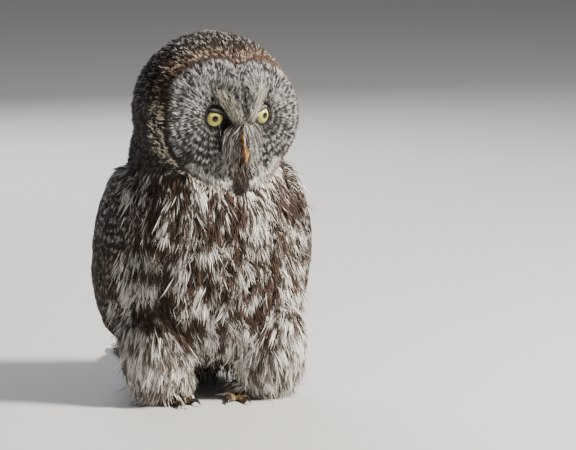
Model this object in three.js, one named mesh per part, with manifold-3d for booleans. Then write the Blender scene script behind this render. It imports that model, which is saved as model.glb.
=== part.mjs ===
// A great grey owl at life size, standing still with folded wings. Millimetres, +Z up, facing -Y.
// Its left side is +X. The feet and the tip of the tail rest at one level, z = 0.
import * as THREE from "three";
import { mergeVertices } from "three/addons/utils/BufferGeometryUtils.js";
import Module from "manifold-3d";

const wasm = await Module();
wasm.setup();

// Driving dimensions
const partingGap = 0.3;
const largeSpan = 1200;
const degree = Math.PI / 180;

// The body's curved axis, from inside the head to the rump: the axis point (y, z), how far the
// section leans back from level, its half width, and its depth to the front and to the back.
const bodyStations = [
  { y: -4, z: 352, lean: 0, half: 60, front: 46, back: 58 },
  { y: -1, z: 308, lean: 0, half: 85, front: 74, back: 82 },
  { y: 1, z: 272, lean: 0, half: 91, front: 83, back: 89 },
  { y: 2, z: 240, lean: 0, half: 102, front: 92, back: 93 },
  { y: 4, z: 205, lean: 0, half: 112, front: 99, back: 97 },
  { y: 7, z: 165, lean: 3, half: 117, front: 103, back: 99 },
  { y: 12, z: 125, lean: 9, half: 117, front: 102, back: 97 },
  { y: 24, z: 88, lean: 20, half: 110, front: 92, back: 87 },
  { y: 44, z: 62, lean: 36, half: 97, front: 52, back: 73 },
  { y: 72, z: 47, lean: 52, half: 82, front: 28, back: 47 },
  { y: 103, z: 38, lean: 64, half: 69, front: 15, back: 27 },
  { y: 136, z: 30, lean: 71, half: 56, front: 9, back: 15 },
];
const bodyRings = 22;
const bodySides = 28;
const bodyPower = 2.25;

// The head: a ball of feathers with the facial disc in front, turned a little to its left.
const headCentre = new THREE.Vector3(4, -18, 335.6);
const headYaw = 14 * degree;
const headPitch = 1.5 * degree;
const ballHalfWidth = 95;
const ballHalfHeight = 93;
const ballHalfDepth = 93;
const discForward = 50; // the plane of the disc's rim, ahead of the ball's centre
const discHalfWidth = 87;
const discHalfHeight = 74;
const discDrop = 6; // the disc's middle, below the eyes
const discRise = 17; // the disc's face, ahead of its rim
const rimNotch = 5; // the dip of the rim above the bill
const ridgeRise = 14; // the ridge from the forehead to the bill
const ridgeHalfWidth = 16;
const ridgeReach = 46;
const eyeDish = 3;
const eyeDishWidth = 18;
const rimFlare = 0.22; // radians over which the rim blends into the ball
const headSides = 34;
const discRings = 7;
const ballRings = 9;

const eyeSpread = 32; // each eye from the midline
const eyeForward = 16.5; // the eye's front, ahead of the rim
const eyeRadius = 12.5;
const eyeTurn = 15 * degree;

const neckTop = { y: 0, z: 273, lean: 14 * degree };
const neckFoot = { y: 0, z: 247, lean: 9 * degree };

// Folded wings: where each edge runs on the body's section, 0 at the breast and 180 at the back,
// against the stations, which go on past the rump along the tail.
const wingEndStations = [
  { y: 178, z: 22, lean: 75, half: 62, front: 6, back: 12 },
  { y: 228, z: 13, lean: 79, half: 58, front: 5, back: 9 },
];
const wingEdges = [
  { at: 2.1, fore: 88, rear: 104 },
  { at: 2.6, fore: 72, rear: 122 },
  { at: 3.4, fore: 65, rear: 137 },
  { at: 4.5, fore: 68, rear: 151 },
  { at: 5.6, fore: 76, rear: 163 },
  { at: 6.8, fore: 86, rear: 171 },
  { at: 8.2, fore: 93, rear: 174 },
  { at: 9.6, fore: 95, rear: 175 },
  { at: 10.9, fore: 98, rear: 174 },
  { at: 12, fore: 106, rear: 172 },
  { at: 12.6, fore: 116, rear: 168 },
  { at: 13, fore: 134, rear: 159 },
];
const wingThickness = 11;
const wingEdgeThickness = 2.5;
const wingSink = 5; // the wing form goes this far into the body before it is parted from it
const wingSteps = 19;
const wingSpans = 6;

// Tail: closed, a little arched, its tip laid at the level of the feet.
const tailRoot = { y: 88, z: 52 };
const tailTip = { y: 292, z: 2 };
const tailSag = 9; // how far the tail hangs below the straight line between its ends
const tailRootHalfWidth = 50;
const tailHalfWidth = 62;
const tailRootHalfDepth = 12;
const tailHalfDepth = 5;
const tailSteps = 12;
const tailSides = 16;
const tailArch = 7;

// Feathered legs, mirrored: centre (x, y, z) and half widths across and along.
const legStations = [
  { x: 58, y: -2, z: 122, across: 38, along: 50 },
  { x: 69, y: -26, z: 90, across: 42, along: 48 },
  { x: 70, y: -38, z: 58, across: 41, along: 41 },
  { x: 66, y: -41, z: 30, across: 39, along: 34 },
  { x: 61, y: -40, z: 16, across: 36, along: 28 },
  { x: 60, y: -39, z: 10.5, across: 32, along: 24 },
];
const legRings = 9;
const legSides = 18;

// Feet: each heel stands at (x, y); toes leave it at these angles from straight ahead, outwards.
const feet = [
  { side: "left", sign: 1, x: 27, y: -30 },
  { side: "right", sign: -1, x: -47, y: -30 },
];
const toes = [
  { name: "inner", turn: -24, length: 35 },
  { name: "middle", turn: 4, length: 39 },
  { name: "outer", turn: 62, length: 31 },
  { name: "rear", turn: 172, length: 26 },
];
const toeRadius = 7.4;
const toeEndRadius = 5.4;
const toeHeight = 4.2;
const heelHalfWidth = 14;
const heelHeight = 16;
const toeSides = 8;
const clawLength = 17;
const clawRadius = 2.8;
const clawDrop = 3.2;
const clawArch = 5;
const clawSides = 6;
const clawSteps = 5;

// Bill, in the head's own frame: distances ahead of the rim and above the eyes.
const billPath = [
  { ahead: 18, up: -12, across: 7.2, deep: 8.5 },
  { ahead: 29, up: -17, across: 6.4, deep: 7.6 },
  { ahead: 35.8, up: -29, across: 4.9, deep: 5.6 },
  { ahead: 35.2, up: -41, across: 3, deep: 3.2 },
  { ahead: 31.2, up: -49.5, across: 0.8, deep: 0.8 },
];
const lowerBillPath = [
  { ahead: 16, up: -27, across: 6, deep: 5 },
  { ahead: 25, up: -33, across: 4.6, deep: 4 },
  { ahead: 29, up: -42, across: 1.6, deep: 1.4 },
];
const billSides = 10;
const billRings = 7;
const billSocket = 0.35;

const coat = { roughness: 0.9, metalness: 0 };
const finishes = {
  head: { color: 0x6b655d, ...coat },
  neck: { color: 0x7c746a, ...coat },
  trunk: { color: 0x9a9289, ...coat },
  wing: { color: 0x5b544c, ...coat },
  tail: { color: 0x8a8279, ...coat },
  leg: { color: 0xa59c90, ...coat },
  foot: { color: 0x8c7a5e, ...coat },
  claw: { color: 0x1d1b1c, roughness: 0.35, metalness: 0 },
  eye: { color: 0xe2d33c, roughness: 0.08, metalness: 0 },
  bill: { color: 0xd9a127, roughness: 0.4, metalness: 0 },
};

// A value between the rows of a table, on a smooth curve through them.
function along(rows, key, place) {
  const last = rows.length - 1;
  const i = Math.min(Math.max(Math.floor(place), 0), last - 1);
  const t = place - i;
  const at = (k) => rows[Math.min(Math.max(k, 0), last)][key];
  const [a, b, c, d] = [at(i - 1), at(i), at(i + 1), at(i + 2)];
  const bend = 2 * a - 5 * b + 4 * c - d + (3 * (b - c) + d - a) * t;
  return b + 0.5 * t * (c - a + t * bend);
}

// The same against a table whose rows name their own places.
function alongPlaces(rows, key, place) {
  let i = 0;
  while (i < rows.length - 2 && place > rows[i + 1].at) i += 1;
  const share = (place - rows[i].at) / (rows[i + 1].at - rows[i].at);
  return along(rows, key, i + THREE.MathUtils.clamp(share, 0, 1));
}

// A closed solid over rings of points: each ring is joined to the next, and the ends are capped.
function ringSolid(rings) {
  const sides = rings[0].length;
  const places = rings.flat();
  const middle = (ring) =>
    ring.reduce((sum, p) => sum.add(p), new THREE.Vector3()).divideScalar(sides);
  places.push(middle(rings[0]), middle(rings.at(-1)));
  const faces = [];
  for (let r = 0; r + 1 < rings.length; r += 1) {
    for (let s = 0; s < sides; s += 1) {
      const a = r * sides + s;
      const b = r * sides + ((s + 1) % sides);
      faces.push(a, b, a + sides, b, b + sides, a + sides);
    }
  }
  const lastRing = (rings.length - 1) * sides;
  for (let s = 0; s < sides; s += 1) {
    const next = (s + 1) % sides;
    faces.push(next, s, places.length - 2);
    faces.push(lastRing + s, lastRing + next, places.length - 1);
  }
  const shape = new THREE.BufferGeometry().setFromPoints(places);
  shape.setIndex(faces);
  return solidOf(shape);
}

// A geometry as a solid, turned so that its faces point out.
function solidOf(geometry) {
  const bare = geometry.clone();
  bare.deleteAttribute("normal");
  bare.deleteAttribute("uv");
  const merged = mergeVertices(bare, 1e-3);
  const vertProperties = new Float32Array(merged.attributes.position.array);
  const triVerts = new Uint32Array(merged.index.array);
  const corner = [new THREE.Vector3(), new THREE.Vector3(), new THREE.Vector3()];
  let volume = 0;
  for (let i = 0; i < triVerts.length; i += 3) {
    corner.forEach((c, k) => c.fromArray(vertProperties, 3 * triVerts[i + k]));
    volume += corner[0].dot(corner[1].cross(corner[2]));
  }
  if (volume < 0) {
    triVerts.reverse();
  }
  return new wasm.Manifold(new wasm.Mesh({ numProp: 3, vertProperties, triVerts }));
}

// The largest body of a solid, without slivers that a cut may leave.
function mainBody(solid) {
  const bodies = solid.decompose();
  return bodies.reduce((best, b) => (b.volume() > best.volume() ? b : best));
}

// The half space below a plane that passes through (0, y, z) and rises towards the back.
function below(plane, lift) {
  const box = new THREE.BoxGeometry(largeSpan, largeSpan, largeSpan);
  box.translate(0, 0, lift - largeSpan / 2);
  box.rotateX(plane.lean);
  box.translate(0, plane.y, plane.z);
  return solidOf(box);
}

const ground = below({ y: 0, z: 0, lean: 0 }, 0);

// A superellipse's point: across and ahead shares of its half sizes at an angle from the front.
function sectionPoint(angle, power) {
  const bend = (v) => Math.sign(v) * Math.abs(v) ** (2 / power);
  return { across: bend(Math.sin(angle)), ahead: bend(Math.cos(angle)) };
}

const pathStations = [...bodyStations, ...wingEndStations];

// A point on the body's surface, pushed out by a distance along the section's own normal.
function bodyPoint(place, angle, out) {
  const value = (key) => along(pathStations, key, place);
  const lean = value("lean") * degree;
  const { across, ahead } = sectionPoint(angle, bodyPower);
  const half = value("half");
  const depth = ahead > 0 ? value("front") : value("back");
  const normal = new THREE.Vector2(across / half, ahead / depth).normalize();
  const x = across * half + normal.x * out;
  const forward = ahead * depth + normal.y * out;
  return new THREE.Vector3(
    x,
    value("y") - forward * Math.cos(lean),
    value("z") - forward * Math.sin(lean),
  );
}

function bodyForm(grow) {
  const rings = [];
  const last = bodyStations.length - 1;
  for (let r = 0; r <= bodyRings; r += 1) {
    const ring = [];
    for (let s = 0; s < bodySides; s += 1) {
      ring.push(bodyPoint((last * r) / bodyRings, (2 * Math.PI * s) / bodySides, grow));
    }
    rings.push(ring);
  }
  return ringSolid(rings);
}

// The head's own axes: ahead, to its left, and up.
const headAhead = new THREE.Vector3(
  Math.sin(headYaw) * Math.cos(headPitch),
  -Math.cos(headYaw) * Math.cos(headPitch),
  -Math.sin(headPitch),
);
const headLeft = new THREE.Vector3(Math.cos(headYaw), Math.sin(headYaw), 0);
const headUp = new THREE.Vector3().crossVectors(headAhead, headLeft);

// A place in the head's frame: left, up from the eyes, ahead of the rim.
function headPoint(left, up, ahead) {
  return headCentre
    .clone()
    .addScaledVector(headLeft, left)
    .addScaledVector(headUp, up)
    .addScaledVector(headAhead, ahead + discForward);
}

// How far the face stands ahead of the rim: a flat dome, the ridge, and a dish round each eye.
function faceAhead(left, up, share) {
  const dome = discRise * (1 - share ** 3.5);
  const ridge = Math.exp(-((left / ridgeHalfWidth) ** 2) - (up / ridgeReach) ** 4);
  const fromEye = (Math.abs(left) - eyeSpread) ** 2 + up ** 2;
  const dish = Math.exp(-fromEye / eyeDishWidth ** 2);
  return dome + ridgeRise * ridge - eyeDish * dish;
}

function rimPoint(angle, grow) {
  const turn = Math.min(angle, 2 * Math.PI - angle);
  const notch = rimNotch * Math.exp(-((turn / 0.24) ** 2));
  return {
    left: (discHalfWidth + grow) * Math.sin(angle),
    up: (discHalfHeight + grow) * Math.cos(angle) - discDrop - notch,
  };
}

// The head's rings: over the facial disc from its middle to the rim, then back over the ball.
function headForm(grow) {
  const rings = [];
  const rimTurn = Math.acos(discForward / ballHalfDepth);
  const ball = (turn, angle) => ({
    left: (ballHalfWidth + grow) * Math.sin(turn) * Math.sin(angle),
    up: (ballHalfHeight + grow) * Math.sin(turn) * Math.cos(angle),
    ahead: (ballHalfDepth + grow) * Math.cos(turn) - discForward,
  });
  const angles = Array.from({ length: headSides }, (_, s) => (2 * Math.PI * s) / headSides);
  for (let r = 0; r < discRings; r += 1) {
    const share = (r + 0.35) / discRings;
    rings.push(
      angles.map((angle) => {
        const rim = rimPoint(angle, grow);
        const left = rim.left * share;
        const up = rim.up * share - discDrop * (1 - share);
        return headPoint(left, up, faceAhead(left, up, share) + grow);
      }),
    );
  }
  for (let r = 0; r < ballRings; r += 1) {
    const turn = rimTurn + ((Math.PI - rimTurn) * r) / (ballRings - 0.6);
    const blend = Math.exp(-(turn - rimTurn) / rimFlare);
    rings.push(
      angles.map((angle) => {
        const rim = rimPoint(angle, grow);
        const from = ball(rimTurn, angle);
        const to = ball(turn, angle);
        return headPoint(
          to.left + (rim.left - from.left) * blend,
          to.up + (rim.up - from.up) * blend,
          to.ahead + (grow - from.ahead) * blend,
        );
      }),
    );
  }
  return ringSolid(rings);
}

// An eyeball, set in the disc and turned outwards a little.
function eyeForm(sign, grow) {
  const ball = new THREE.SphereGeometry(eyeRadius + grow, 16, 10);
  const axis = headAhead
    .clone()
    .multiplyScalar(Math.cos(eyeTurn))
    .addScaledVector(headLeft, sign * Math.sin(eyeTurn));
  const centre = headPoint(sign * eyeSpread, 0, eyeForward).addScaledVector(axis, -eyeRadius);
  ball.applyQuaternion(new THREE.Quaternion().setFromUnitVectors(new THREE.Vector3(0, 1, 0), axis));
  ball.translate(centre.x, centre.y, centre.z);
  return solidOf(ball);
}

// Half of the bill: ellipses along a bent path in the head's middle plane.
function billForm(rows, grow) {
  const last = rows.length - 1;
  const place = (t) => {
    const at = (key) => along(rows, key, THREE.MathUtils.clamp(t, 0, last));
    return headPoint(0, at("up"), at("ahead"));
  };
  const rings = [];
  for (let r = 0; r <= billRings; r += 1) {
    const t = (last * r) / billRings;
    const step = place(t + 0.05).sub(place(t - 0.05)).normalize();
    const side = new THREE.Vector3().crossVectors(step, headLeft);
    const across = along(rows, "across", t) + grow;
    const deep = along(rows, "deep", t) + grow;
    const centre = place(t).addScaledVector(step, grow * (t === 0 ? -1 : 1));
    const ring = [];
    for (let s = 0; s < billSides; s += 1) {
      const angle = (2 * Math.PI * s) / billSides;
      ring.push(
        centre
          .clone()
          .addScaledVector(headLeft, across * Math.sin(angle))
          .addScaledVector(side, deep * Math.cos(angle)),
      );
    }
    rings.push(ring);
  }
  return ringSolid(rings);
}

// A folded wing: a shell over the body between its fore and rear edges, thin at every edge.
function wingForm(sign) {
  const [first, last] = [wingEdges[0].at, wingEdges.at(-1).at];
  const rings = [];
  for (let r = 0; r <= wingSteps; r += 1) {
    const share = r / wingSteps;
    const place = first + (last - first) * share;
    const fore = alongPlaces(wingEdges, "fore", place);
    const rear = alongPlaces(wingEdges, "rear", place);
    const swell = Math.min(1, 3.2 * Math.sin(Math.PI * Math.min(share + 0.03, 1)) ** 0.7);
    const outer = [];
    const inner = [];
    for (let s = 0; s <= wingSpans; s += 1) {
      const angle = sign * (fore + ((rear - fore) * s) / wingSpans) * degree;
      const bulge = Math.sin((Math.PI * s) / wingSpans) ** 0.6;
      outer.push(bodyPoint(place, angle, wingEdgeThickness + wingThickness * bulge * swell));
      inner.push(bodyPoint(place, angle, -wingSink * Math.min(1, 3 - 3 * share)));
    }
    rings.push([...outer, ...inner.reverse()]);
  }
  return ringSolid(rings);
}

// The tail: flat arched ellipses that widen, then close to a round tip.
function tailForm(grow) {
  const rings = [];
  for (let r = 0; r <= tailSteps; r += 1) {
    const share = r / tailSteps;
    const spread = THREE.MathUtils.lerp(tailRootHalfWidth, tailHalfWidth, Math.min(1, 1.4 * share));
    const tip = Math.sqrt(Math.max(0.03, 1 - Math.max(0, (share - 0.72) / 0.28) ** 2.6));
    const half = spread * tip + grow;
    const depth = THREE.MathUtils.lerp(tailRootHalfDepth, tailHalfDepth, Math.min(1, 1.6 * share));
    const y = THREE.MathUtils.lerp(tailRoot.y, tailTip.y, share);
    const z = THREE.MathUtils.lerp(tailRoot.z, tailTip.z, share) - tailSag * Math.sin(Math.PI * share);
    const ring = [];
    for (let s = 0; s < tailSides; s += 1) {
      const angle = (2 * Math.PI * s) / tailSides;
      const x = half * Math.sin(angle);
      const arch = -tailArch * (1 - 0.7 * share) * (x / half) ** 2;
      ring.push(new THREE.Vector3(x, y, z + arch + (depth + grow) * Math.cos(angle)));
    }
    rings.push(ring);
  }
  return ringSolid(rings);
}

function legForm(sign, grow) {
  const rings = [];
  const last = legStations.length - 1;
  for (let r = 0; r <= legRings; r += 1) {
    const at = (key) => along(legStations, key, (last * r) / legRings);
    const ring = [];
    for (let s = 0; s < legSides; s += 1) {
      const angle = (2 * Math.PI * s) / legSides;
      ring.push(
        new THREE.Vector3(
          sign * at("x") + (at("across") + grow) * Math.sin(angle),
          at("y") + (at("along") + grow) * Math.cos(angle),
          at("z") - (r === legRings ? grow : 0),
        ),
      );
    }
    rings.push(ring);
  }
  return ringSolid(rings);
}

function toeDirection(foot, toe) {
  const turn = toe.turn * degree * foot.sign;
  return new THREE.Vector3(Math.sin(turn), -Math.cos(turn), 0);
}

// A foot: a low heel and four feathered toes, flat where they stand.
function footForm(foot) {
  const heel = new THREE.SphereGeometry(1, 12, 8);
  heel.scale(heelHalfWidth, heelHalfWidth, heelHeight);
  heel.translate(foot.x, foot.y, 0);
  let form = solidOf(heel);
  for (const toe of toes) {
    const ahead = toeDirection(foot, toe);
    const side = new THREE.Vector3(ahead.y, -ahead.x, 0);
    const rings = [];
    for (const share of [0, 0.3, 0.6, 0.92, 1]) {
      const knuckle = 1 - 0.12 * Math.cos(share * 6 * Math.PI);
      const radius = THREE.MathUtils.lerp(toeRadius, toeEndRadius, share) * (share === 1 ? 0.7 : knuckle);
      const ring = [];
      for (let s = 0; s < toeSides; s += 1) {
        const angle = (2 * Math.PI * s) / toeSides;
        ring.push(
          new THREE.Vector3(foot.x, foot.y, toeHeight - 3 * (1 - share))
            .addScaledVector(ahead, toe.length * share)
            .addScaledVector(side, radius * Math.sin(angle))
            .add(new THREE.Vector3(0, 0, 0.8 * radius * Math.cos(angle))),
        );
      }
      rings.push(ring);
    }
    form = form.add(ringSolid(rings));
  }
  return form.subtract(ground);
}

// A claw: a cone along an arc from the toe's end down to a sharp point.
function clawForm(foot, toe) {
  const ahead = toeDirection(foot, toe);
  const side = new THREE.Vector3(ahead.y, -ahead.x, 0);
  const root = new THREE.Vector3(foot.x, foot.y, toeHeight).addScaledVector(
    ahead,
    toe.length + partingGap,
  );
  const up = new THREE.Vector3(0, 0, 1);
  const path = new THREE.QuadraticBezierCurve3(
    root,
    root.clone().addScaledVector(ahead, clawLength * 0.55).addScaledVector(up, clawArch),
    root.clone().addScaledVector(ahead, clawLength).addScaledVector(up, -clawDrop),
  );
  const rings = [];
  for (let r = 0; r <= clawSteps; r += 1) {
    const share = r / clawSteps;
    const radius = clawRadius * (1 - share) ** 0.75 + 0.25;
    const forward = r === 0 ? ahead : path.getTangent(share);
    const normal = new THREE.Vector3().crossVectors(side, forward).normalize();
    const ring = [];
    for (let s = 0; s < clawSides; s += 1) {
      const angle = (2 * Math.PI * s) / clawSides;
      ring.push(
        path
          .getPoint(share)
          .addScaledVector(side, 0.85 * radius * Math.sin(angle))
          .addScaledVector(normal, radius * Math.cos(angle)),
      );
    }
    rings.push(ring);
  }
  return ringSolid(rings);
}

const owl = new THREE.Group();

function addPart(name, solid, finish) {
  const made = mainBody(solid).getMesh();
  const shape = new THREE.BufferGeometry();
  shape.setAttribute("position", new THREE.BufferAttribute(made.vertProperties.slice(), 3));
  shape.setIndex(new THREE.BufferAttribute(made.triVerts.slice(), 1));
  shape.computeVertexNormals();
  const mesh = new THREE.Mesh(shape, new THREE.MeshStandardMaterial(finishes[finish]));
  mesh.name = name;
  owl.add(mesh);
}

// The body is made whole, then parted into head, neck and trunk by two thin cuts.
const whole = bodyForm(0).add(headForm(0)).subtract(ground);
const wholeGrown = bodyForm(partingGap).add(headForm(partingGap));
const legsGrown = [1, -1].map((sign) => legForm(sign, partingGap));
const upperBill = billForm(billPath, 0);
const upperBillGrown = billForm(billPath, billSocket);
const lowerBill = billForm(lowerBillPath, 0).subtract(upperBillGrown);
const eyes = { left: eyeForm(1, 0), right: eyeForm(-1, 0) };

const head = whole
  .subtract(below(neckTop, partingGap))
  .subtract(upperBillGrown)
  .subtract(billForm(lowerBillPath, billSocket))
  .subtract(eyeForm(1, partingGap))
  .subtract(eyeForm(-1, partingGap));
const neck = whole.intersect(below(neckTop, 0)).subtract(below(neckFoot, partingGap));
const trunk = whole
  .intersect(below(neckFoot, 0))
  .subtract(legsGrown[0])
  .subtract(legsGrown[1])
  .subtract(tailForm(partingGap));
addPart("head", head, "head");
addPart("neck", neck, "neck");
addPart("trunk", trunk, "trunk");
addPart("bill_upper", upperBill, "bill");
addPart("bill_lower", lowerBill, "bill");
addPart("eye_left", eyes.left, "eye");
addPart("eye_right", eyes.right, "eye");

const tail = tailForm(0).subtract(ground);
addPart("tail", tail, "tail");

for (const { side, sign } of feet) {
  const cut = wholeGrown.add(tailForm(partingGap)).add(legForm(sign, partingGap));
  addPart("wing_" + side, wingForm(sign).subtract(cut).subtract(ground), "wing");
}

for (const foot of feet) {
  const form = footForm(foot);
  addPart("leg_" + foot.side, legForm(foot.sign, 0), "leg");
  addPart("foot_" + foot.side, form.subtract(legForm(foot.sign, partingGap)), "foot");
  for (const toe of toes) {
    addPart("claw_" + foot.side + "_" + toe.name, clawForm(foot, toe), "claw");
  }
}

// The origin: on the floor, under the middle of the whole bird's box.
const box = new THREE.Box3().setFromObject(owl);
const middle = box.getCenter(new THREE.Vector3());
owl.position.set(-middle.x, -middle.y, -box.min.z);

export default owl;
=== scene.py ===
import math
import bpy
import numpy as np
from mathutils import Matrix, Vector
from mathutils.bvhtree import BVHTree


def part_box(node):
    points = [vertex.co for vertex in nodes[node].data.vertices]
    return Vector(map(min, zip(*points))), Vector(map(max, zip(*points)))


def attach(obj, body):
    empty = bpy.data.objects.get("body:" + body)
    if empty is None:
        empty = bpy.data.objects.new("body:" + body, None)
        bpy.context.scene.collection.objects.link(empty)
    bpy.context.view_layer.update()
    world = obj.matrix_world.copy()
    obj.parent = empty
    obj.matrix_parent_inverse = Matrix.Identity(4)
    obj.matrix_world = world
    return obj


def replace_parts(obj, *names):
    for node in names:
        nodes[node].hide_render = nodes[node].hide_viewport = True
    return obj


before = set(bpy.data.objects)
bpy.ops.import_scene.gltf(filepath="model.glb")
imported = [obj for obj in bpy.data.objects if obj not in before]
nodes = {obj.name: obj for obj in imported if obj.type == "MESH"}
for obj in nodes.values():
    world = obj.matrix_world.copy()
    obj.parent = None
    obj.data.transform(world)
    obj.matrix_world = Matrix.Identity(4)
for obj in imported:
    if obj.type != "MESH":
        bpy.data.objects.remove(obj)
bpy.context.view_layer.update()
rng = np.random.default_rng(11)

# The bird's measures in metres and degrees, before the shift onto the frame's nodes is added.
birdPlan = {
    "headCentre": (0.004, -0.018, 0.3356),
    "headYaw": 14.0,
    "headPitch": 1.5,
    "rimAhead": 0.050,
    "discHalfWidth": 0.087,
    "discHalfHeight": 0.074,
    "discDrop": 0.006,
    "notch": 0.008,
    "notchTurn": 0.10,
    "notchWidth": 0.20,
    "squareness": 0.7,
    "leftWider": 1.03,
    "eyeSpread": 0.032,
    "eyeFront": 0.0165,
    "eyeRadius": 0.0125,
    "eyeTurn": 15.0,
    "sectionPower": 2.25,
    # y and z of the body's axis, lean in degrees, half width, depth in front, depth behind
    "stations": [
        (-0.004, 0.352, 0, 0.060, 0.046, 0.058),
        (-0.001, 0.308, 0, 0.085, 0.074, 0.082),
        (0.001, 0.272, 0, 0.091, 0.083, 0.089),
        (0.002, 0.240, 0, 0.102, 0.092, 0.093),
        (0.004, 0.205, 0, 0.112, 0.099, 0.097),
        (0.007, 0.165, 3, 0.117, 0.103, 0.099),
        (0.012, 0.125, 9, 0.117, 0.102, 0.097),
        (0.024, 0.088, 20, 0.110, 0.092, 0.087),
        (0.044, 0.062, 36, 0.097, 0.052, 0.073),
        (0.072, 0.047, 52, 0.082, 0.028, 0.047),
        (0.103, 0.038, 64, 0.069, 0.015, 0.027),
        (0.136, 0.030, 71, 0.056, 0.009, 0.015),
        (0.178, 0.022, 75, 0.062, 0.006, 0.012),
        (0.228, 0.013, 79, 0.058, 0.005, 0.009),
    ],
}
fleshNodes = [
    "head", "neck", "trunk", "tail", "wing_left", "wing_right",
    "leg_left", "leg_right", "foot_left", "foot_right",
]


def unit(v):
    return v / np.maximum(np.linalg.norm(v, axis=-1, keepdims=True), 1e-12)


def smooth(low, high, x):
    # the cubic step: 3t^2 - 2t^3 between low and high
    t = np.clip((x - low) / (high - low), 0, 1)
    return t * t * (3 - 2 * t)


def mix(a, b, share):
    share = np.asarray(share)[..., None]
    return np.asarray(a) * (1 - share) + np.asarray(b) * share


def curveThrough(values, place):
    # Catmull-Rom curve: the cubic from b to c whose slopes there are (c - a) / 2 and (d - b) / 2
    values = np.asarray(values, float)
    last = len(values) - 1
    i = np.clip(np.floor(place).astype(int), 0, last - 1)
    t = np.reshape(place - i, np.shape(place) + (1,) * (values.ndim - 1))
    a, b, c, d = (values[np.clip(i + k, 0, last)] for k in (-1, 0, 1, 2))
    return b + 0.5 * t * (c - a + t * (2 * a - 5 * b + 4 * c - d + t * (3 * (b - c) + d - a)))


def along(column, place):
    return curveThrough([row[column] for row in birdPlan["stations"]], place)


def quadratic(t, a, b, c):
    # (1 - t)^2 a + 2 t (1 - t) b + t^2 c
    return (1 - t) ** 2 * a + 2 * t * (1 - t) * b + t ** 2 * c


# The head's own axes: ahead, to its left, and up.
yaw, pitch = math.radians(birdPlan["headYaw"]), math.radians(birdPlan["headPitch"])
headAhead = np.array([math.sin(yaw), -math.cos(yaw), 0.0]) * math.cos(pitch)
headAhead[2] = -math.sin(pitch)
headLeft = np.array([math.cos(yaw), math.sin(yaw), 0.0])
headUp = np.cross(headAhead, headLeft)
eyeTurn = math.radians(birdPlan["eyeTurn"])


def eyeAxis(sign):
    return headAhead * math.cos(eyeTurn) + headLeft * (sign * math.sin(eyeTurn))


def plainHeadPoint(left, up, ahead):
    # head centre + left, up and ahead along the head's axes
    return (
        np.array(birdPlan["headCentre"])
        + np.asarray(left)[..., None] * headLeft
        + np.asarray(up)[..., None] * headUp
        + (np.asarray(ahead)[..., None] + birdPlan["rimAhead"]) * headAhead
    )


def plainEye(sign):
    front = plainHeadPoint(sign * birdPlan["eyeSpread"], 0.0, birdPlan["eyeFront"])
    return front - eyeAxis(sign) * birdPlan["eyeRadius"]


def boxMiddle(name):
    low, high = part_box(name)
    return (np.array(low) + np.array(high)) / 2


shift = (boxMiddle("eye_left") + boxMiddle("eye_right") - plainEye(1) - plainEye(-1)) / 2


def headPoint(left, up, ahead):
    return plainHeadPoint(left, up, ahead) + shift


def toHead(points):
    # left of the head's middle, up from its eyes' level and ahead of the disc's rim
    away = points - shift - np.array(birdPlan["headCentre"])
    return away @ headLeft, away @ headUp, away @ headAhead - birdPlan["rimAhead"]


def bodyPoint(place, angle, out):
    # the section's superellipse, |x / half|^p + |y / depth|^p = 1, pushed out along its normal
    lean = np.radians(along(2, place))
    half, power = along(3, place), 2 / birdPlan["sectionPower"]
    across = np.sign(np.sin(angle)) * np.abs(np.sin(angle)) ** power
    forward = np.sign(np.cos(angle)) * np.abs(np.cos(angle)) ** power
    depth = np.where(forward > 0, along(4, place), along(5, place))
    nx, ny = across / half, forward / depth
    size = np.sqrt(nx ** 2 + ny ** 2)
    x = across * half + nx / size * out
    ahead = forward * depth + ny / size * out
    y = along(0, place) - ahead * np.cos(lean)
    z = along(1, place) - ahead * np.sin(lean)
    return np.stack([x, y, z], -1) + shift


# the lattice's offset, and large primes that scatter its corners, the seed and the result
noiseKeys = {
    "offset": 57.3, "corner": (73856093, 19349663, 83492791), "seed": 2654435761, "stir": 1274126177,
}


def softNoise(points, scale, seed):
    # values at the corners of a lattice, blended with the cubic step along each axis
    p = points * scale + noiseKeys["offset"]
    cell = np.floor(p).astype(np.int64)
    t = p - cell
    t = t * t * (3 - 2 * t)
    total = np.zeros(p.shape[:-1])
    for corner in range(8):
        bits = np.array([corner & 1, (corner >> 1) & 1, (corner >> 2) & 1])
        c = (cell + bits) * np.array(noiseKeys["corner"])
        mixed = c[..., 0] ^ c[..., 1] ^ c[..., 2] ^ (seed * noiseKeys["seed"])
        mixed = (mixed ^ (mixed >> 13)) * noiseKeys["stir"] & 0x7FFFFFFF
        value = ((mixed ^ (mixed >> 16)) & 0xFFFF) / 0xFFFF
        total += value * np.prod(np.where(bits, t, 1 - t), axis=-1)
    return total


def twoNoise(points, scales, seed, share=0.6):
    # a coarse noise times share, plus a fine one times the rest
    coarse, fine = (softNoise(points, scale, seed + k) for k, scale in enumerate(scales))
    return coarse * share + fine * (1 - share)


def placeObject(name, data):
    made = bpy.data.objects.new(name, data)
    bpy.context.scene.collection.objects.link(made)
    return made


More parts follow.
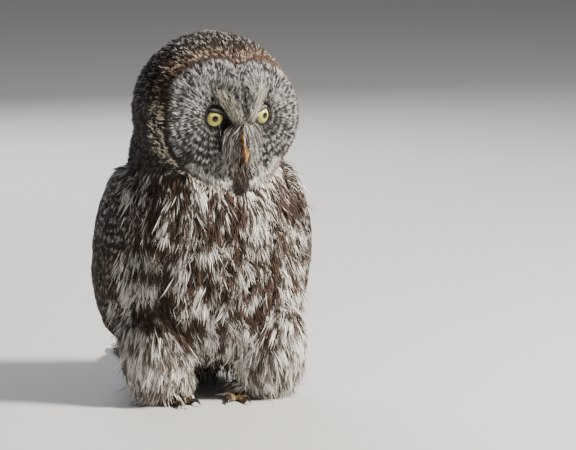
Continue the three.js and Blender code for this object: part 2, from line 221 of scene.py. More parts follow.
def newObject(name, verts, faces, tint, uvs, material):
    # faces is (count, 3 or 4); tint holds a colour for each vertex; uvs a place for each vertex
    mesh = bpy.data.meshes.new(name)
    corners = faces.shape[1]
    mesh.vertices.add(len(verts))
    mesh.vertices.foreach_set("co", np.ascontiguousarray(verts, np.float32).ravel())
    mesh.loops.add(faces.size)
    mesh.loops.foreach_set("vertex_index", faces.ravel().astype(np.int32))
    mesh.polygons.add(len(faces))
    mesh.polygons.foreach_set("loop_start", np.arange(0, faces.size, corners, dtype=np.int32))
    mesh.polygons.foreach_set("use_smooth", np.ones(len(faces), bool))
    mesh.update(calc_edges=True)
    if tint is not None:
        layer = mesh.color_attributes.new("tint", "FLOAT_COLOR", "POINT")
        colour = np.ones((len(verts), 4), np.float32)
        colour[:, :3] = tint
        layer.data.foreach_set("color", colour.ravel())
    for uvName, places in uvs.items():
        layer = mesh.uv_layers.new(name=uvName)
        layer.data.foreach_set("uv", np.ascontiguousarray(places[faces.ravel()], np.float32).ravel())
    made = placeObject(name, mesh)
    mesh.materials.append(material)
    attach(made, "root")
    return made


def gridFaces(count, rows, columns, closed=False):
    # quads over count separate grids of rows by columns; closed joins the last column to the first
    r = np.arange(rows - 1)[:, None]
    c = np.arange(columns if closed else columns - 1)[None, :]
    nextColumn = (c + 1) % columns
    a = r * columns + c
    b = r * columns + nextColumn
    quad = np.stack([a, b, b + columns, a + columns], -1).reshape(-1, 4)
    return (quad[None] + (np.arange(count) * rows * columns)[:, None, None]).reshape(-1, 4)


def fill(tree, node, inputs):
    # each input takes a value, or another node's output
    for key, value in inputs.items():
        if isinstance(value, bpy.types.NodeSocket):
            tree.links.new(value, node.inputs[key])
        else:
            node.inputs[key].default_value = value


def addNode(tree, kind, inputs=None, **settings):
    node = tree.nodes.new("ShaderNode" + kind)
    for key, value in settings.items():
        setattr(node, key, value)
    fill(tree, node, inputs or {})
    return node


def addNoise(tree, place, scale, detail):
    return addNode(tree, "TexNoise", {"Vector": place, "Scale": scale, "Detail": detail}).outputs["Fac"]


def mapped(tree, value, low, high, top=1.0):
    # 0 to top becomes low to high
    inputs = {"Value": value, "From Max": top, "To Min": low, "To Max": high}
    return addNode(tree, "MapRange", inputs).outputs[0]


def scaled(tree, colour, gain):
    return addNode(tree, "VectorMath", {0: colour, "Scale": gain}, operation="SCALE").outputs[0]


def bumped(tree, height, strength, distance):
    inputs = {"Height": height, "Strength": strength, "Distance": distance}
    return addNode(tree, "Bump", inputs).outputs["Normal"]


def pieceTint(tree):
    return addNode(tree, "Attribute", attribute_name="tint").outputs["Color"]


def startMaterial(name):
    material = bpy.data.materials.new(name)
    material.use_nodes = True
    return material, material.node_tree, material.node_tree.nodes["Principled BSDF"]


# Fine barbs and mottling, which the plumage materials share.
barbLook = {
    "slant": -0.35, "stretch": (1.6, 26.0, 1.0), "detail": 3.0,
    "mottleScale": 420.0, "mottleDetail": 4.0, "shaftHalf": 0.10,
}


def makeBarbGroup():
    # tint x (1 + barbs (noise - 0.5) + mottle (noise - 0.5) - shaft)
    look = barbLook
    group = bpy.data.node_groups.new("featherBarbs", "ShaderNodeTree")
    for name, kind, side in [
        ("Tint", "NodeSocketColor", "INPUT"), ("Barbs", "NodeSocketFloat", "INPUT"),
        ("Shaft", "NodeSocketFloat", "INPUT"), ("Mottle", "NodeSocketFloat", "INPUT"),
        ("Colour", "NodeSocketColor", "OUTPUT"), ("Height", "NodeSocketFloat", "OUTPUT"),
    ]:
        group.interface.new_socket(name=name, socket_type=kind, in_out=side)

    def work(operation, *values):
        return addNode(group, "Math", dict(enumerate(values)), operation=operation).outputs[0]

    inside, outside = group.nodes.new("NodeGroupInput"), group.nodes.new("NodeGroupOutput")
    split = addNode(group, "SeparateXYZ", {0: addNode(group, "UVMap", uv_map="vane").outputs["UV"]})
    across, length = split.outputs["X"], split.outputs["Y"]
    # barbs slant towards the tip on both sides of the shaft
    side = work("ABSOLUTE", across)
    slanted = work("MULTIPLY_ADD", side, look["slant"], length)
    place = addNode(group, "CombineXYZ", {"X": across, "Y": slanted}).outputs[0]
    stretched = addNode(group, "Mapping", {"Vector": place, "Scale": look["stretch"]}).outputs[0]
    barbs = addNoise(group, stretched, 1.0, look["detail"])
    where = addNode(group, "TexCoord").outputs["Object"]
    mottle = addNoise(group, where, look["mottleScale"], look["mottleDetail"])
    both = work("ADD", *[
        work("MULTIPLY", work("SUBTRACT", source, 0.5), inside.outputs[amount])
        for source, amount in [(barbs, "Barbs"), (mottle, "Mottle")]
    ])
    # the shaft is a thin dark line down the middle
    line = mapped(group, side, 1.0, 0.0, look["shaftHalf"])
    shaft = work("MULTIPLY", line, inside.outputs["Shaft"])
    gain = work("ADD", work("SUBTRACT", both, shaft), 1.0)
    fill(group, outside, {"Colour": scaled(group, inside.outputs["Tint"], gain), "Height": barbs})
    return group


barbGroup = makeBarbGroup()
plumageSurface = {
    "Roughness": 0.82, "Specular IOR Level": 0.15, "Sheen Weight": 0.02, "Sheen Roughness": 0.5,
}


def plumageMaterial(name, barbs, shaft, mottle, bump):
    material, tree, shader = startMaterial(name)
    shares = {"Barbs": barbs, "Shaft": shaft, "Mottle": mottle, "Tint": pieceTint(tree)}
    group = addNode(tree, "Group", shares, node_tree=barbGroup)
    normal = bumped(tree, group.outputs["Height"], bump, 0.0004)
    fill(tree, shader, plumageSurface | {"Base Color": group.outputs["Colour"], "Normal": normal})
    return material


downMaterial = plumageMaterial("looseTufts", 0.55, 0.0, 0.5, 0.3)
faceMaterial = plumageMaterial("faceFeathers", 0.4, 0.0, 0.7, 0.25)
vaneMaterial = plumageMaterial("firmVanes", 0.7, 0.35, 0.9, 0.5)


def grainMaterial(name, look, surface):
    # tint x noise, drawn out between low and high; the noise raises the bump as well
    material, tree, shader = startMaterial(name)
    grain = addNoise(tree, addNode(tree, "TexCoord").outputs["Object"], look["grain"], look["detail"])
    colour = scaled(tree, pieceTint(tree), mapped(tree, grain, look["low"], look["high"]))
    normal = bumped(tree, grain, look["bump"], look["bumpDistance"])
    fill(tree, shader, surface | {"Base Color": colour, "Normal": normal})
    return material


skinGrain = {"grain": 600.0, "detail": 5.0, "low": 0.55, "high": 1.35, "bump": 0.5, "bumpDistance": 0.0005}
hornGrain = {"grain": 900.0, "detail": 4.0, "low": 0.75, "high": 1.25, "bump": 0.2, "bumpDistance": 0.0003}

print("stage: skin")
skinSettings = {
    "voxel": 0.0026,
    "grow": 0.00035,
    # the coat's depth over the skin on each node
    "depth": {
        "head": 0.0065, "neck": 0.010, "trunk": 0.011, "tail": 0.002, "wing": 0.004,
        "leg": 0.010, "foot": 0.0012,
    },
    "faceDepth": 0.0030,
    "depthSmoothing": 10,
    "shapeSmoothing": 4,
    "bellySmoothing": 60,
    "bellyShare": 0.6,
    "bellyHeights": (0.030, 0.060, 0.130, 0.185),
    "floor": 0.0004,
    "footShade": 1.0, "coatShade": 0.55, "faceShade": 0.7,
}


def readArray(items, key, width, kind):
    values = np.empty(len(items) * width, kind)
    items.foreach_get(key, values)
    return values.reshape(-1, width)


def nodeArrays(name):
    # a node's vertices, merged where they meet, and its triangles
    mesh = nodes[name].data
    mesh.calc_loop_triangles()
    rounded = np.round(readArray(mesh.vertices, "co", 3, np.float32), 6)
    merged, place = np.unique(rounded, axis=0, return_inverse=True)
    tris = place.reshape(-1)[readArray(mesh.loop_triangles, "vertices", 3, np.int32)]
    whole = (tris[:, 0] != tris[:, 1]) & (tris[:, 1] != tris[:, 2]) & (tris[:, 0] != tris[:, 2])
    return merged.astype(float), tris[whole]


def vertexNormals(verts, faces):
    # the sum of the normals of the faces round each vertex, weighted by their areas
    a, b, c = verts[faces[:, 0]], verts[faces[:, 1]], verts[faces[:, 2]]
    across = np.cross(b - a, c - a)
    total = np.zeros_like(verts)
    for k in range(faces.shape[1]):
        np.add.at(total, faces[:, k], across)
    return unit(total)


def spread(values, edges, rounds, share=0.5):
    # each round moves every value towards the mean of its neighbours
    count = np.zeros(len(values))
    np.add.at(count, edges[:, 0], 1)
    np.add.at(count, edges[:, 1], 1)
    count = np.maximum(count, 1).reshape((-1,) + (1,) * (values.ndim - 1))
    for _ in range(rounds):
        total = np.zeros_like(values)
        np.add.at(total, edges[:, 0], values[edges[:, 1]])
        np.add.at(total, edges[:, 1], values[edges[:, 0]])
        values = values + share * (total / count - values)
    return values


def buildSkinShape():
    # one closed surface round the nodes of flesh, and the node nearest to each of its vertices
    allVerts, allTris, owner, offset = [], [], [], 0
    for index, name in enumerate(fleshNodes):
        verts, tris = nodeArrays(name)
        verts = verts + vertexNormals(verts, tris) * skinSettings["grow"]
        allVerts.append(verts)
        allTris.append(tris + offset)
        owner.append(np.full(len(tris), index))
        offset += len(verts)
    verts, tris, owner = np.concatenate(allVerts), np.concatenate(allTris), np.concatenate(owner)
    mesh = bpy.data.meshes.new("draft")
    mesh.from_pydata(verts.tolist(), [], tris.tolist())
    draft = placeObject("draft", mesh)
    remesh = draft.modifiers.new("remesh", "REMESH")
    remesh.mode = "VOXEL"
    remesh.voxel_size = skinSettings["voxel"]
    bpy.context.view_layer.update()
    made = bpy.data.meshes.new_from_object(draft.evaluated_get(bpy.context.evaluated_depsgraph_get()))
    skinVerts = readArray(made.vertices, "co", 3, np.float32).astype(float)
    edges = readArray(made.edges, "vertices", 2, np.int32)
    faces = readArray(made.loops, "vertex_index", 1, np.int32).reshape(-1, 4)
    bpy.data.objects.remove(draft)
    tree = BVHTree.FromPolygons(verts.tolist(), tris.tolist())
    hits = [tree.find_nearest(v)[2] for v in skinVerts.tolist()]
    return skinVerts, edges, faces, owner[hits]


skinVerts, skinEdges, skinFaces, skinOwner = buildSkinShape()


def rimShare(left, up):
    # 0 at the disc's middle and 1 at its rim, which is squarer above the eyes
    plan = birdPlan
    power = 2.0 + plan["squareness"] * smooth(-0.01, 0.03, up)
    x = np.abs(left) / (plan["discHalfWidth"] * np.where(left > 0, plan["leftWider"], 1.0))
    around = np.arctan2(left, up + plan["discDrop"]) - plan["notchTurn"]
    height = plan["discHalfHeight"] - plan["notch"] * np.exp(-(around / plan["notchWidth"]) ** 2)
    y = np.abs(up + plan["discDrop"]) / height
    return (x ** power + y ** power) ** (1 / power)


skinRegion = np.array([name.split("_")[0] for name in fleshNodes])[skinOwner]
left, up, ahead = toHead(skinVerts)
onFace = (skinRegion == "head") & (rimShare(left, up) < 1.03) & (ahead > -0.012)
depth = np.array([skinSettings["depth"][kind] for kind in skinRegion])
depth[onFace] = skinSettings["faceDepth"]
depth = spread(depth, skinEdges, skinSettings["depthSmoothing"])
normals = vertexNormals(skinVerts, skinFaces)
skinVerts = spread(skinVerts - normals * depth[:, None], skinEdges, skinSettings["shapeSmoothing"])
# where belly and legs meet, the form runs on without a crease
height = skinVerts[:, 2] - shift[2]
levels = skinSettings["bellyHeights"]
blend = smooth(levels[0], levels[1], height) * smooth(levels[3], levels[2], height)
blend = skinSettings["bellyShare"] * blend * np.isin(skinRegion, ["trunk", "leg"])
skinVerts = spread(skinVerts, skinEdges, skinSettings["bellySmoothing"], blend[:, None])
skinVerts[:, 2] = np.maximum(skinVerts[:, 2], skinSettings["floor"])
skinNormals = vertexNormals(skinVerts, skinFaces)
skinTree = BVHTree.FromPolygons(skinVerts.tolist(), skinFaces.tolist())
print("skin", len(skinVerts), "vertices", len(skinFaces) * 2, "triangles")

# How far each kind of surface stays over the floor.
lowest = {"tufts": 0.0006, "vanes": 0.0008, "claws": 0.0003}

# The coat's colours, as shares of light that each gives back.
colours = {
    "white": (0.86, 0.83, 0.77),
    "cream": (0.60, 0.57, 0.48),
    "dark": (0.030, 0.022, 0.018),
    "black": (0.009, 0.008, 0.008),
    "buff": (0.56, 0.40, 0.27),
    "warm": (0.050, 0.030, 0.021),
    "speck": (0.42, 0.40, 0.37),
    "shade": (0.50, 0.47, 0.425),
    "umber": (0.082, 0.050, 0.033),
    "back": (0.042, 0.034, 0.028),
    "backFleck": (0.31, 0.29, 0.26),
    "foot": (0.20, 0.15, 0.105),
}


def curveDistance(left, up, points):
    # the shortest distance to a chain of short straight lines, and how far along it
    best, share = np.full(left.shape, 9.0), np.zeros(left.shape)
    for k, ((x0, y0), (x1, y1)) in enumerate(zip(points[:-1], points[1:])):
        dx, dy = x1 - x0, y1 - y0
        t = np.clip(((left - x0) * dx + (up - y0) * dy) / (dx * dx + dy * dy), 0, 1)
        away = np.hypot(left - x0 - t * dx, up - y0 - t * dy)
        nearer = away < best
        best = np.where(nearer, away, best)
        share = np.where(nearer, (k + t) / (len(points) - 1), share)
    return best, share


faceMarks = {
    "ringSpacing": 0.0082,
    "brow": [(0.002, -0.012), (0.009, 0.001), (0.016, 0.013), (0.026, 0.025)],
    "browWidth": 0.0072,
    "moustache": [(0.012, -0.082), (0.028, -0.079), (0.044, -0.070), (0.056, -0.059)],
    "moustacheWidth": 0.0085,
    "lores": [(0.023, -0.006), (0.015, -0.012), (0.011, -0.019)],
    "whiskers": [(0.006, -0.018), (0.011, -0.034), (0.020, -0.052), (0.026, -0.066)],
    # the dark chin's half width, downwards from below the bill
    "chinDown": [0.030, 0.046, 0.062, 0.078, 0.090],
    "chinHalf": [0.003, 0.0075, 0.0125, 0.0115, 0.007],
    "paleHair": (0.52, 0.505, 0.48),
    "darkHair": (0.030, 0.028, 0.027),
    "browShade": (0.12, 0.112, 0.09),
    "whiskerDark": (0.07, 0.062, 0.056),
    "whiskerPale": (0.50, 0.485, 0.45),
    "chinHair": (0.10, 0.075, 0.062),
    "rimBrown": (0.105, 0.060, 0.042),
}


def faceColour(points, jitter):
    # short dark and pale flecks that stream from the eyes, rings below and outside them,
    # broad pale brows over black eye rings, dark lores and chin, white under the disc
    marks = faceMarks
    left, up, _ = toHead(points)
    side = np.abs(left)
    dx, dy = side - birdPlan["eyeSpread"], up
    fromEye = np.hypot(dx, dy)
    around = np.arctan2(dx, dy)
    streak = np.stack([around * 26 + 3 * (left > 0), fromEye * 260, 0 * up], -1)
    fleck = softNoise(streak, 1.0, 5) * 0.45 + softNoise(points, 560, 6) * 0.55
    wave = softNoise(points, 90, 3) * 1.1
    ring = np.sin(2 * math.pi * (fromEye / marks["ringSpacing"] + wave))
    outer = smooth(0.022, -0.012, up) * smooth(-0.012, 0.006, dx)
    value = 0.45 + (0.04 + 0.15 * outer) * ring + 1.45 * (fleck - 0.5) + 0.30 * (jitter - 0.5)
    # the lower face is darker, partly its own colour and partly painted shade, which is stronger on the
    # near side (left < 0)
    shade = np.where(left < 0, 0.24, 0.13)
    value = value - shade * smooth(0.0, -0.04, up) * smooth(0.095, 0.055, side)
    colour = mix(marks["darkHair"], marks["paleHair"], smooth(0.22, 0.84, value))
    inward = smooth(-0.4, 0.7, (0.75 * dy - 0.65 * dx) / np.maximum(fromEye, 1e-4))
    reach = 0.0126 + 0.0036 * inward
    colour = mix(colour, colours["black"], 0.95 * smooth(1.15, 0.90, fromEye / reach))
    below = smooth(0.042, 0.018, fromEye) * smooth(0.010, -0.008, dy)
    colour = mix(colour, marks["darkHair"], 0.86 * below * (1 - 0.45 * smooth(0.2, 1.0, ring)))
    lores, _ = curveDistance(side, up, marks["lores"])
    colour = mix(colour, colours["black"], 0.95 * smooth(0.0075, 0.003, lores))
    stripe = smooth(0.0052, 0.0022, side) * smooth(-0.010, 0.002, up) * smooth(0.070, 0.025, up)
    colour = mix(colour, colours["dark"], 0.8 * stripe * smooth(0.35, 0.6, fleck + 0.1))
    brow, share = curveDistance(side, up, marks["brow"])
    width = marks["browWidth"] * np.interp(share, [0, 0.45, 1], [0.55, 1.0, 0.55])
    browTone = mix(marks["browShade"], colours["cream"], smooth(0.32, 0.58, fleck + 0.2 * (jitter - 0.5)))
    colour = mix(colour, browTone, smooth(1.10, 0.75, brow / width))
    strand = smooth(0.35, 0.62, fleck + 0.25 * (jitter - 0.5))
    whisker, share = curveDistance(side, up, marks["whiskers"])
    whiskerTone = mix(marks["whiskerDark"], marks["whiskerPale"], strand)
    colour = mix(colour, whiskerTone, 0.9 * smooth(0.0115, 0.006, whisker - 0.002 * share))
    chinHalf = np.interp(-up, marks["chinDown"], marks["chinHalf"])
    chinHalf = chinHalf + 0.004 * (softNoise(points, 210, 9) - 0.5)
    chin = smooth(1.15, 0.8, side / chinHalf) * smooth(-0.030, -0.044, up)
    colour = mix(colour, mix(colours["dark"], marks["chinHair"], 0.7 * strand), chin)
    band, _ = curveDistance(side, up, marks["moustache"])
    ragged = 1 + 0.7 * (softNoise(points, 260, 12) - 0.5)
    # the white band fades away from the chin; on the near side (left < 0) painted shade makes it fade
    # further
    outerShare = np.where(left < 0, 0.32, 0.60)
    nearChin = outerShare + (1 - outerShare) * smooth(0.050, 0.026, side)
    band = smooth(1.25, 0.7, band / (marks["moustacheWidth"] * ragged)) * (0.60 + 0.40 * strand) * nearChin
    colour = mix(colour, colours["white"], band * (1 - chin))
    # seen edge on, the rim's brown line on the left side is wider
    turned = smooth(0.010, 0.040, left)
    edge = smooth(0.955 - 0.040 * turned, 0.980 - 0.030 * turned, rimShare(left, up)) * (1 - 0.6 * band)
    return mix(colour, mix(colours["dark"], marks["rimBrown"], turned), 0.92 * edge)


def headColour(points, jitter):
    # near black with many small pale spots, warmer just over the rim, greyer behind and below
    _, up, ahead = toHead(points)
    over = smooth(-0.022, -0.010, ahead) * smooth(0.010, 0.040, up)
    ground = mix(colours["dark"], colours["warm"], over)
    spot = mix(colours["speck"], colours["buff"], 0.8 * over)
    speck = smooth(0.54, 0.66, softNoise(points, 300, 8) + 0.10 * (jitter - 0.5))
    return mix(ground, spot, speck)


bodyPatches = {
    "blotch": (106, 220), "cut": (0.395, 0.495), "streak": 0.27, "jitter": 0.08,
    # patches are drawn out downwards, less so between these two heights and below
    "heights": (0.215, 0.155), "stretch": (0.25, 0.43),
}


def bodyColour(points, streak, jitter):
    # long dark streaks and white between them on the breast, broken across lower down
    look = bodyPatches
    low = smooth(*look["heights"], points[..., 2])
    p = points * 1.0
    p[..., 0] += 0.006 * np.sin(points[..., 2] * 70 + 9 * points[..., 0])
    p[..., 2] *= look["stretch"][0] + look["stretch"][1] * low
    blotch = twoNoise(p, look["blotch"], 21) + look["streak"] * (streak - 0.45)
    dark = smooth(*look["cut"], blotch + look["jitter"] * (jitter - 0.5))
    pale = mix(colours["white"], colours["shade"], 0.6 * jitter)
    deep = mix(colours["dark"], colours["umber"], jitter)
    return mix(pale, deep, dark)


def backColour(points, jitter):
    # dark grey-brown with pale broken bars and flecks
    p = points * 1.0
    p[..., 2] *= 1.5
    bars = softNoise(p, 210, 31) * 0.5 + softNoise(points, 420, 32) * 0.5
    fleck = smooth(0.49, 0.66, bars + 0.12 * (jitter - 0.5))
    colour = mix(colours["back"], colours["backFleck"], fleck)
    return colour * (0.85 + 0.3 * jitter)[..., None]


def frontShare(points):
    # 1 on the breast and belly, 0 on the nape, back and rump
    p = points - shift
    angle = np.arctan2(np.abs(p[..., 0]) / 0.115, -(p[..., 1] - 0.01) / 0.10)
    return smooth(1.75, 1.25, angle)


def skinColour():
    # the coat's colours, darkened as they lie in its shade
    half = np.full(len(skinVerts), 0.5)
    colour = bodyColour(skinVerts, half, half)
    back = backColour(skinVerts, half)
    colour = mix(back, colour, frontShare(skinVerts))
    head = skinRegion == "head"
    colour[head] = headColour(skinVerts[head], half[head])
    colour[onFace] = faceColour(skinVerts[onFace], half[onFace])
    dark = np.isin(skinRegion, ["wing", "tail"])
    colour[dark] = back[dark]
    foot = skinRegion == "foot"
    colour[foot] = colours["foot"]
    bare = np.isin(skinRegion, ["foot", "wing", "tail"])
    shade = np.where(bare, skinSettings["footShade"], skinSettings["coatShade"])
    shade[onFace] = skinSettings["faceShade"]
    return colour * shade[:, None]


lidSettings = {
    "around": 96, "across": 11, "outer": 66.0,
    "side": 48.5, "topCut": 0.44, "lean": 0.30, "bottom": 44.5,
    "lift": 0.0010, "browLift": 0.0020, "gap": 0.00012, "over": 0.0003, "sink": 0.0012, "turnDown": 0.0004,
    "edge": (0.010, 0.009, 0.009), "below": (0.050, 0.048, 0.046), "above": (0.13, 0.124, 0.110),
}


def eyePoints(sign, polar, around, radius):
    # at an angle from the eye's axis, an angle round it from the top, and a radius
    axis = eyeAxis(sign)
    upward = unit(headUp - axis * (headUp @ axis))
    ring = np.cos(around)[..., None] * upward + np.sin(around)[..., None] * np.cross(upward, axis)
    return plainEye(sign) + shift + radius[..., None] * (
        np.cos(polar)[..., None] * axis + np.sin(polar)[..., None] * ring
    )


def lidSurface(sign):
    # rings round the eye's axis: the rim's angle shrinks at the top, and the lid swells outwards
    s = lidSettings
    around = np.linspace(0, 2 * math.pi, s["around"], endpoint=False)
    # a straight upper lid, lower towards the bill, cuts the round opening: the stern look
    rise = np.cos(around + sign * s["lean"])
    cut = np.degrees(np.arcsin(np.clip(s["topCut"] / np.maximum(rise, 0.05), 0, 0.95)))
    foot = np.clip(-np.cos(around), 0, 1) ** 2
    inner = np.minimum(s["side"] + (s["bottom"] - s["side"]) * foot, np.where(rise > 0.05, cut, 90))
    t = np.linspace(0, 1, s["across"])[:, None]
    polar = np.radians(inner[None] + (s["outer"] - inner[None]) * t)
    thick = s["lift"] + s["browLift"] * smooth(0.1, 0.9, rise)[None]
    swell = s["gap"] + thick * np.sin(math.pi * np.minimum(t * 1.2, 1)) ** 0.6 - s["sink"] * t ** 3
    # the first ring turns down onto the eyeball
    swell = swell - np.where(t == 0, s["turnDown"], 0.0)
    points = eyePoints(sign, polar, around, birdPlan["eyeRadius"] + s["over"] + swell)
    return points.reshape(-1, 3), gridFaces(1, s["across"], s["around"], closed=True)


def orientOut(verts, faces, centre):
    # turns the faces so that their normals point away from the centre, on the whole
    a, b, c = verts[faces[:, 0]], verts[faces[:, 1]], verts[faces[:, 2]]
    out = np.einsum("ij,ij->i", np.cross(b - a, c - a), a - centre).sum()
    return faces if out > 0 else faces[:, ::-1]


def buildSkin():
    s = lidSettings
    verts, faces, tint = [skinVerts], [skinFaces], [skinColour()]
    offset = len(skinVerts)
    for sign in (1, -1):
        lidVerts, lidFaces = lidSurface(sign)
        verts.append(lidVerts)
        faces.append(orientOut(lidVerts, lidFaces, plainEye(sign) + shift) + offset)
        # black at the opening, grey further out and paler above
        fade = np.repeat(smooth(0.12, 0.45, np.linspace(0, 1, s["across"])), s["around"])
        grey = mix(s["below"], s["above"], smooth(0.0, 0.008, toHead(lidVerts)[1]))
        tint.append(mix(s["edge"], grey, fade))
        offset += len(lidVerts)
    material = grainMaterial("featheredSkin", skinGrain, {"Roughness": 0.8})
    verts, faces = np.concatenate(verts), np.concatenate(faces)
    skin = newObject("skin", verts, faces, np.concatenate(tint), {}, material)
    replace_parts(skin, *fleshNodes)


buildSkin()

# Roots are drawn once, and each part of the coat thins them to its own spacing.
print("stage: roots")


def drawRoots(count):
    # over the skin, by area
    quads = skinVerts[skinFaces]
    area = np.linalg.norm(np.cross(quads[:, 2] - quads[:, 0], quads[:, 3] - quads[:, 1]), axis=1)
    chosen = rng.choice(len(skinFaces), count, p=area / area.sum())
    u, v = rng.random((2, count, 1))
    q = quads[chosen]
    points = (q[:, 0] * (1 - u) + q[:, 1] * u) * (1 - v) + (q[:, 3] * (1 - u) + q[:, 2] * u) * v
    corner = skinFaces[chosen]
    return points, unit(skinNormals[corner].sum(1)), skinRegion[corner[:, 0]]


rootPlan = {
    "count": 700000,
    "keys": (4000037, 2003, 1),  # large enough that no two cells share a key
    "coat": 0.0045,  # the disc's edge is judged this far over the skin
    # shares of the disc, 1 at its rim, and metres ahead of the rim
    "face": 0.985, "faceBack": -0.020,
    "rim": (0.965, 1.085), "rimBack": -0.026,
    "crown": 1.03,
    "eyeGap": 0.0112,
    # half width and heights of the bare bill
    "bill": (0.0048, -0.048, -0.027),
}
rootPoints, rootNormals, rootRegion = drawRoots(rootPlan["count"])
allRoots = np.arange(len(rootPoints))


def thin(chosen, spacing):
    # keeps one root in each cell of a lattice, shifted so that regions don't line up
    cell = np.floor((rootPoints[chosen] + rng.random(3) * spacing) / spacing).astype(np.int64)
    first = np.unique(cell @ np.array(rootPlan["keys"]), return_index=True)[1]
    return np.sort(chosen[first])


def tangent(direction, normal):
    return unit(direction - normal * np.einsum("ij,ij->i", direction, normal)[:, None])


stationPath = np.linspace(0, len(birdPlan["stations"]) - 1, 90)
pathY, pathZ = along(0, stationPath), along(1, stationPath)


def placeOnPath(points):
    # the nearest place on the body's axis
    p = points - shift
    away = (p[:, None, 1] - pathY[None]) ** 2 + (p[:, None, 2] - pathZ[None]) ** 2
    return stationPath[np.argmin(away, axis=1)]


def bodyFlow(points, extra=0.0, hang=0.0):
    # down along the axis, leaning extra degrees more; where the coat hangs, straight down
    lean = np.radians((along(2, placeOnPath(points)) + extra) * (1 - hang))
    return np.stack([0 * lean, np.sin(lean), -np.cos(lean)], -1)


def faceFlow(points):
    # away from the eyes; over the bill up towards the forehead
    left, up, _ = toHead(points)
    sign = np.where(left < 0, -1.0, 1.0)
    side = np.abs(left)
    flowLeft, flowUp = side - birdPlan["eyeSpread"], up.copy()
    middle = smooth(0.016, 0.007, side)
    fore = middle * smooth(-0.016, -0.006, up)
    flowLeft = flowLeft * (1 - fore) + fore * 0.012
    flowUp = flowUp * (1 - fore) + fore * 0.030
    # whiskers run out and down from the root of the bill
    lore = smooth(0.024, 0.016, side) * smooth(-0.008, -0.014, up) * smooth(-0.066, -0.050, up)
    flowLeft = flowLeft * (1 - lore) + lore * (0.35 * side + 0.004)
    flowUp = flowUp * (1 - lore) - lore * 0.018
    return (sign * flowLeft)[:, None] * headLeft + flowUp[:, None] * headUp


def headFlow(points):
    # back from the rim over the crown, turning down at the sides and the nape
    _, up, ahead = toHead(points)
    down = 0.25 + 1.5 * smooth(0.06, -0.05, up) + 0.9 * smooth(-0.05, -0.11, ahead)
    return -headAhead[None] - down[:, None] * headUp[None]


def nearest(points):
    # places on the skin and its normals there
    found = [skinTree.find_nearest(p) for p in points.tolist()]
    return np.array([f[0] for f in found]), np.array([f[1] for f in found])


def bakePlace(points, kind):
    # where a root lies on an unwrap of the skin: the head opened out from the face's middle,
    # the body round its axis, flat views for wings and tail
    if kind == "head":
        left, up, ahead = toHead(points)
        back = ahead + birdPlan["rimAhead"]
        turn = np.arctan2(np.hypot(left, up), back) / math.pi
        around = np.arctan2(left, up)
        return np.stack([0.5 + 0.49 * turn * np.sin(around), 0.5 + 0.49 * turn * np.cos(around)], -1)
    if kind == "face":
        left, up, _ = toHead(points)
        return np.stack([0.5 + left / 0.2, 0.54 + up / 0.2], -1)
    low, high = points.min(0) - 0.002, points.max(0) + 0.002
    share = (points - low) / (high - low)
    if kind == "pair":
        half = np.where(points[:, 0] - shift[0] > 0, 0.5, 0.0)
        around = np.arctan2(
            points[:, 0] - shift[0] - np.where(half > 0, 0.066, -0.066), -(points[:, 1] - shift[1] + 0.036)
        )
        return np.stack([half + 0.25 + 0.24 * around / math.pi, 0.01 + 0.98 * share[:, 2]], -1)
    if kind == "wings":
        half = np.where(points[:, 0] - shift[0] > 0, 0.5, 0.0)
        return np.stack([half + 0.01 + 0.48 * share[:, 1], 0.01 + 0.98 * share[:, 2]], -1)
    around = np.arctan2(points[:, 0] - shift[0], -(points[:, 1] - shift[1] - 0.01))
    return np.stack([0.5 + 0.49 * around / math.pi, 0.01 + 0.98 * share[:, 2]], -1)


toneSpan = 7  # each feather's barbs start somewhere else in the noise, over this span

# What every tuft has, in metres or as shares; each part of the coat changes what it needs.
tuftLook = {
    "blades": 3, "rows": 5, "length": 0.01, "vary": 0.5, "swing": 0.15, "rise": 0.003, "tipLift": 0.5,
    "width": 0.0038, "bladeWidth": 0.0005, "cup": 0.1, "waver": 0.06, "point": 2.2, "round": 0.1,
    "close": 0.2, "curl": 0.05, "roll": 0.28, "scatter": 0.16, "uneven": 0.2,
    "lengthShare": 1.0, "free": 0.0,
}


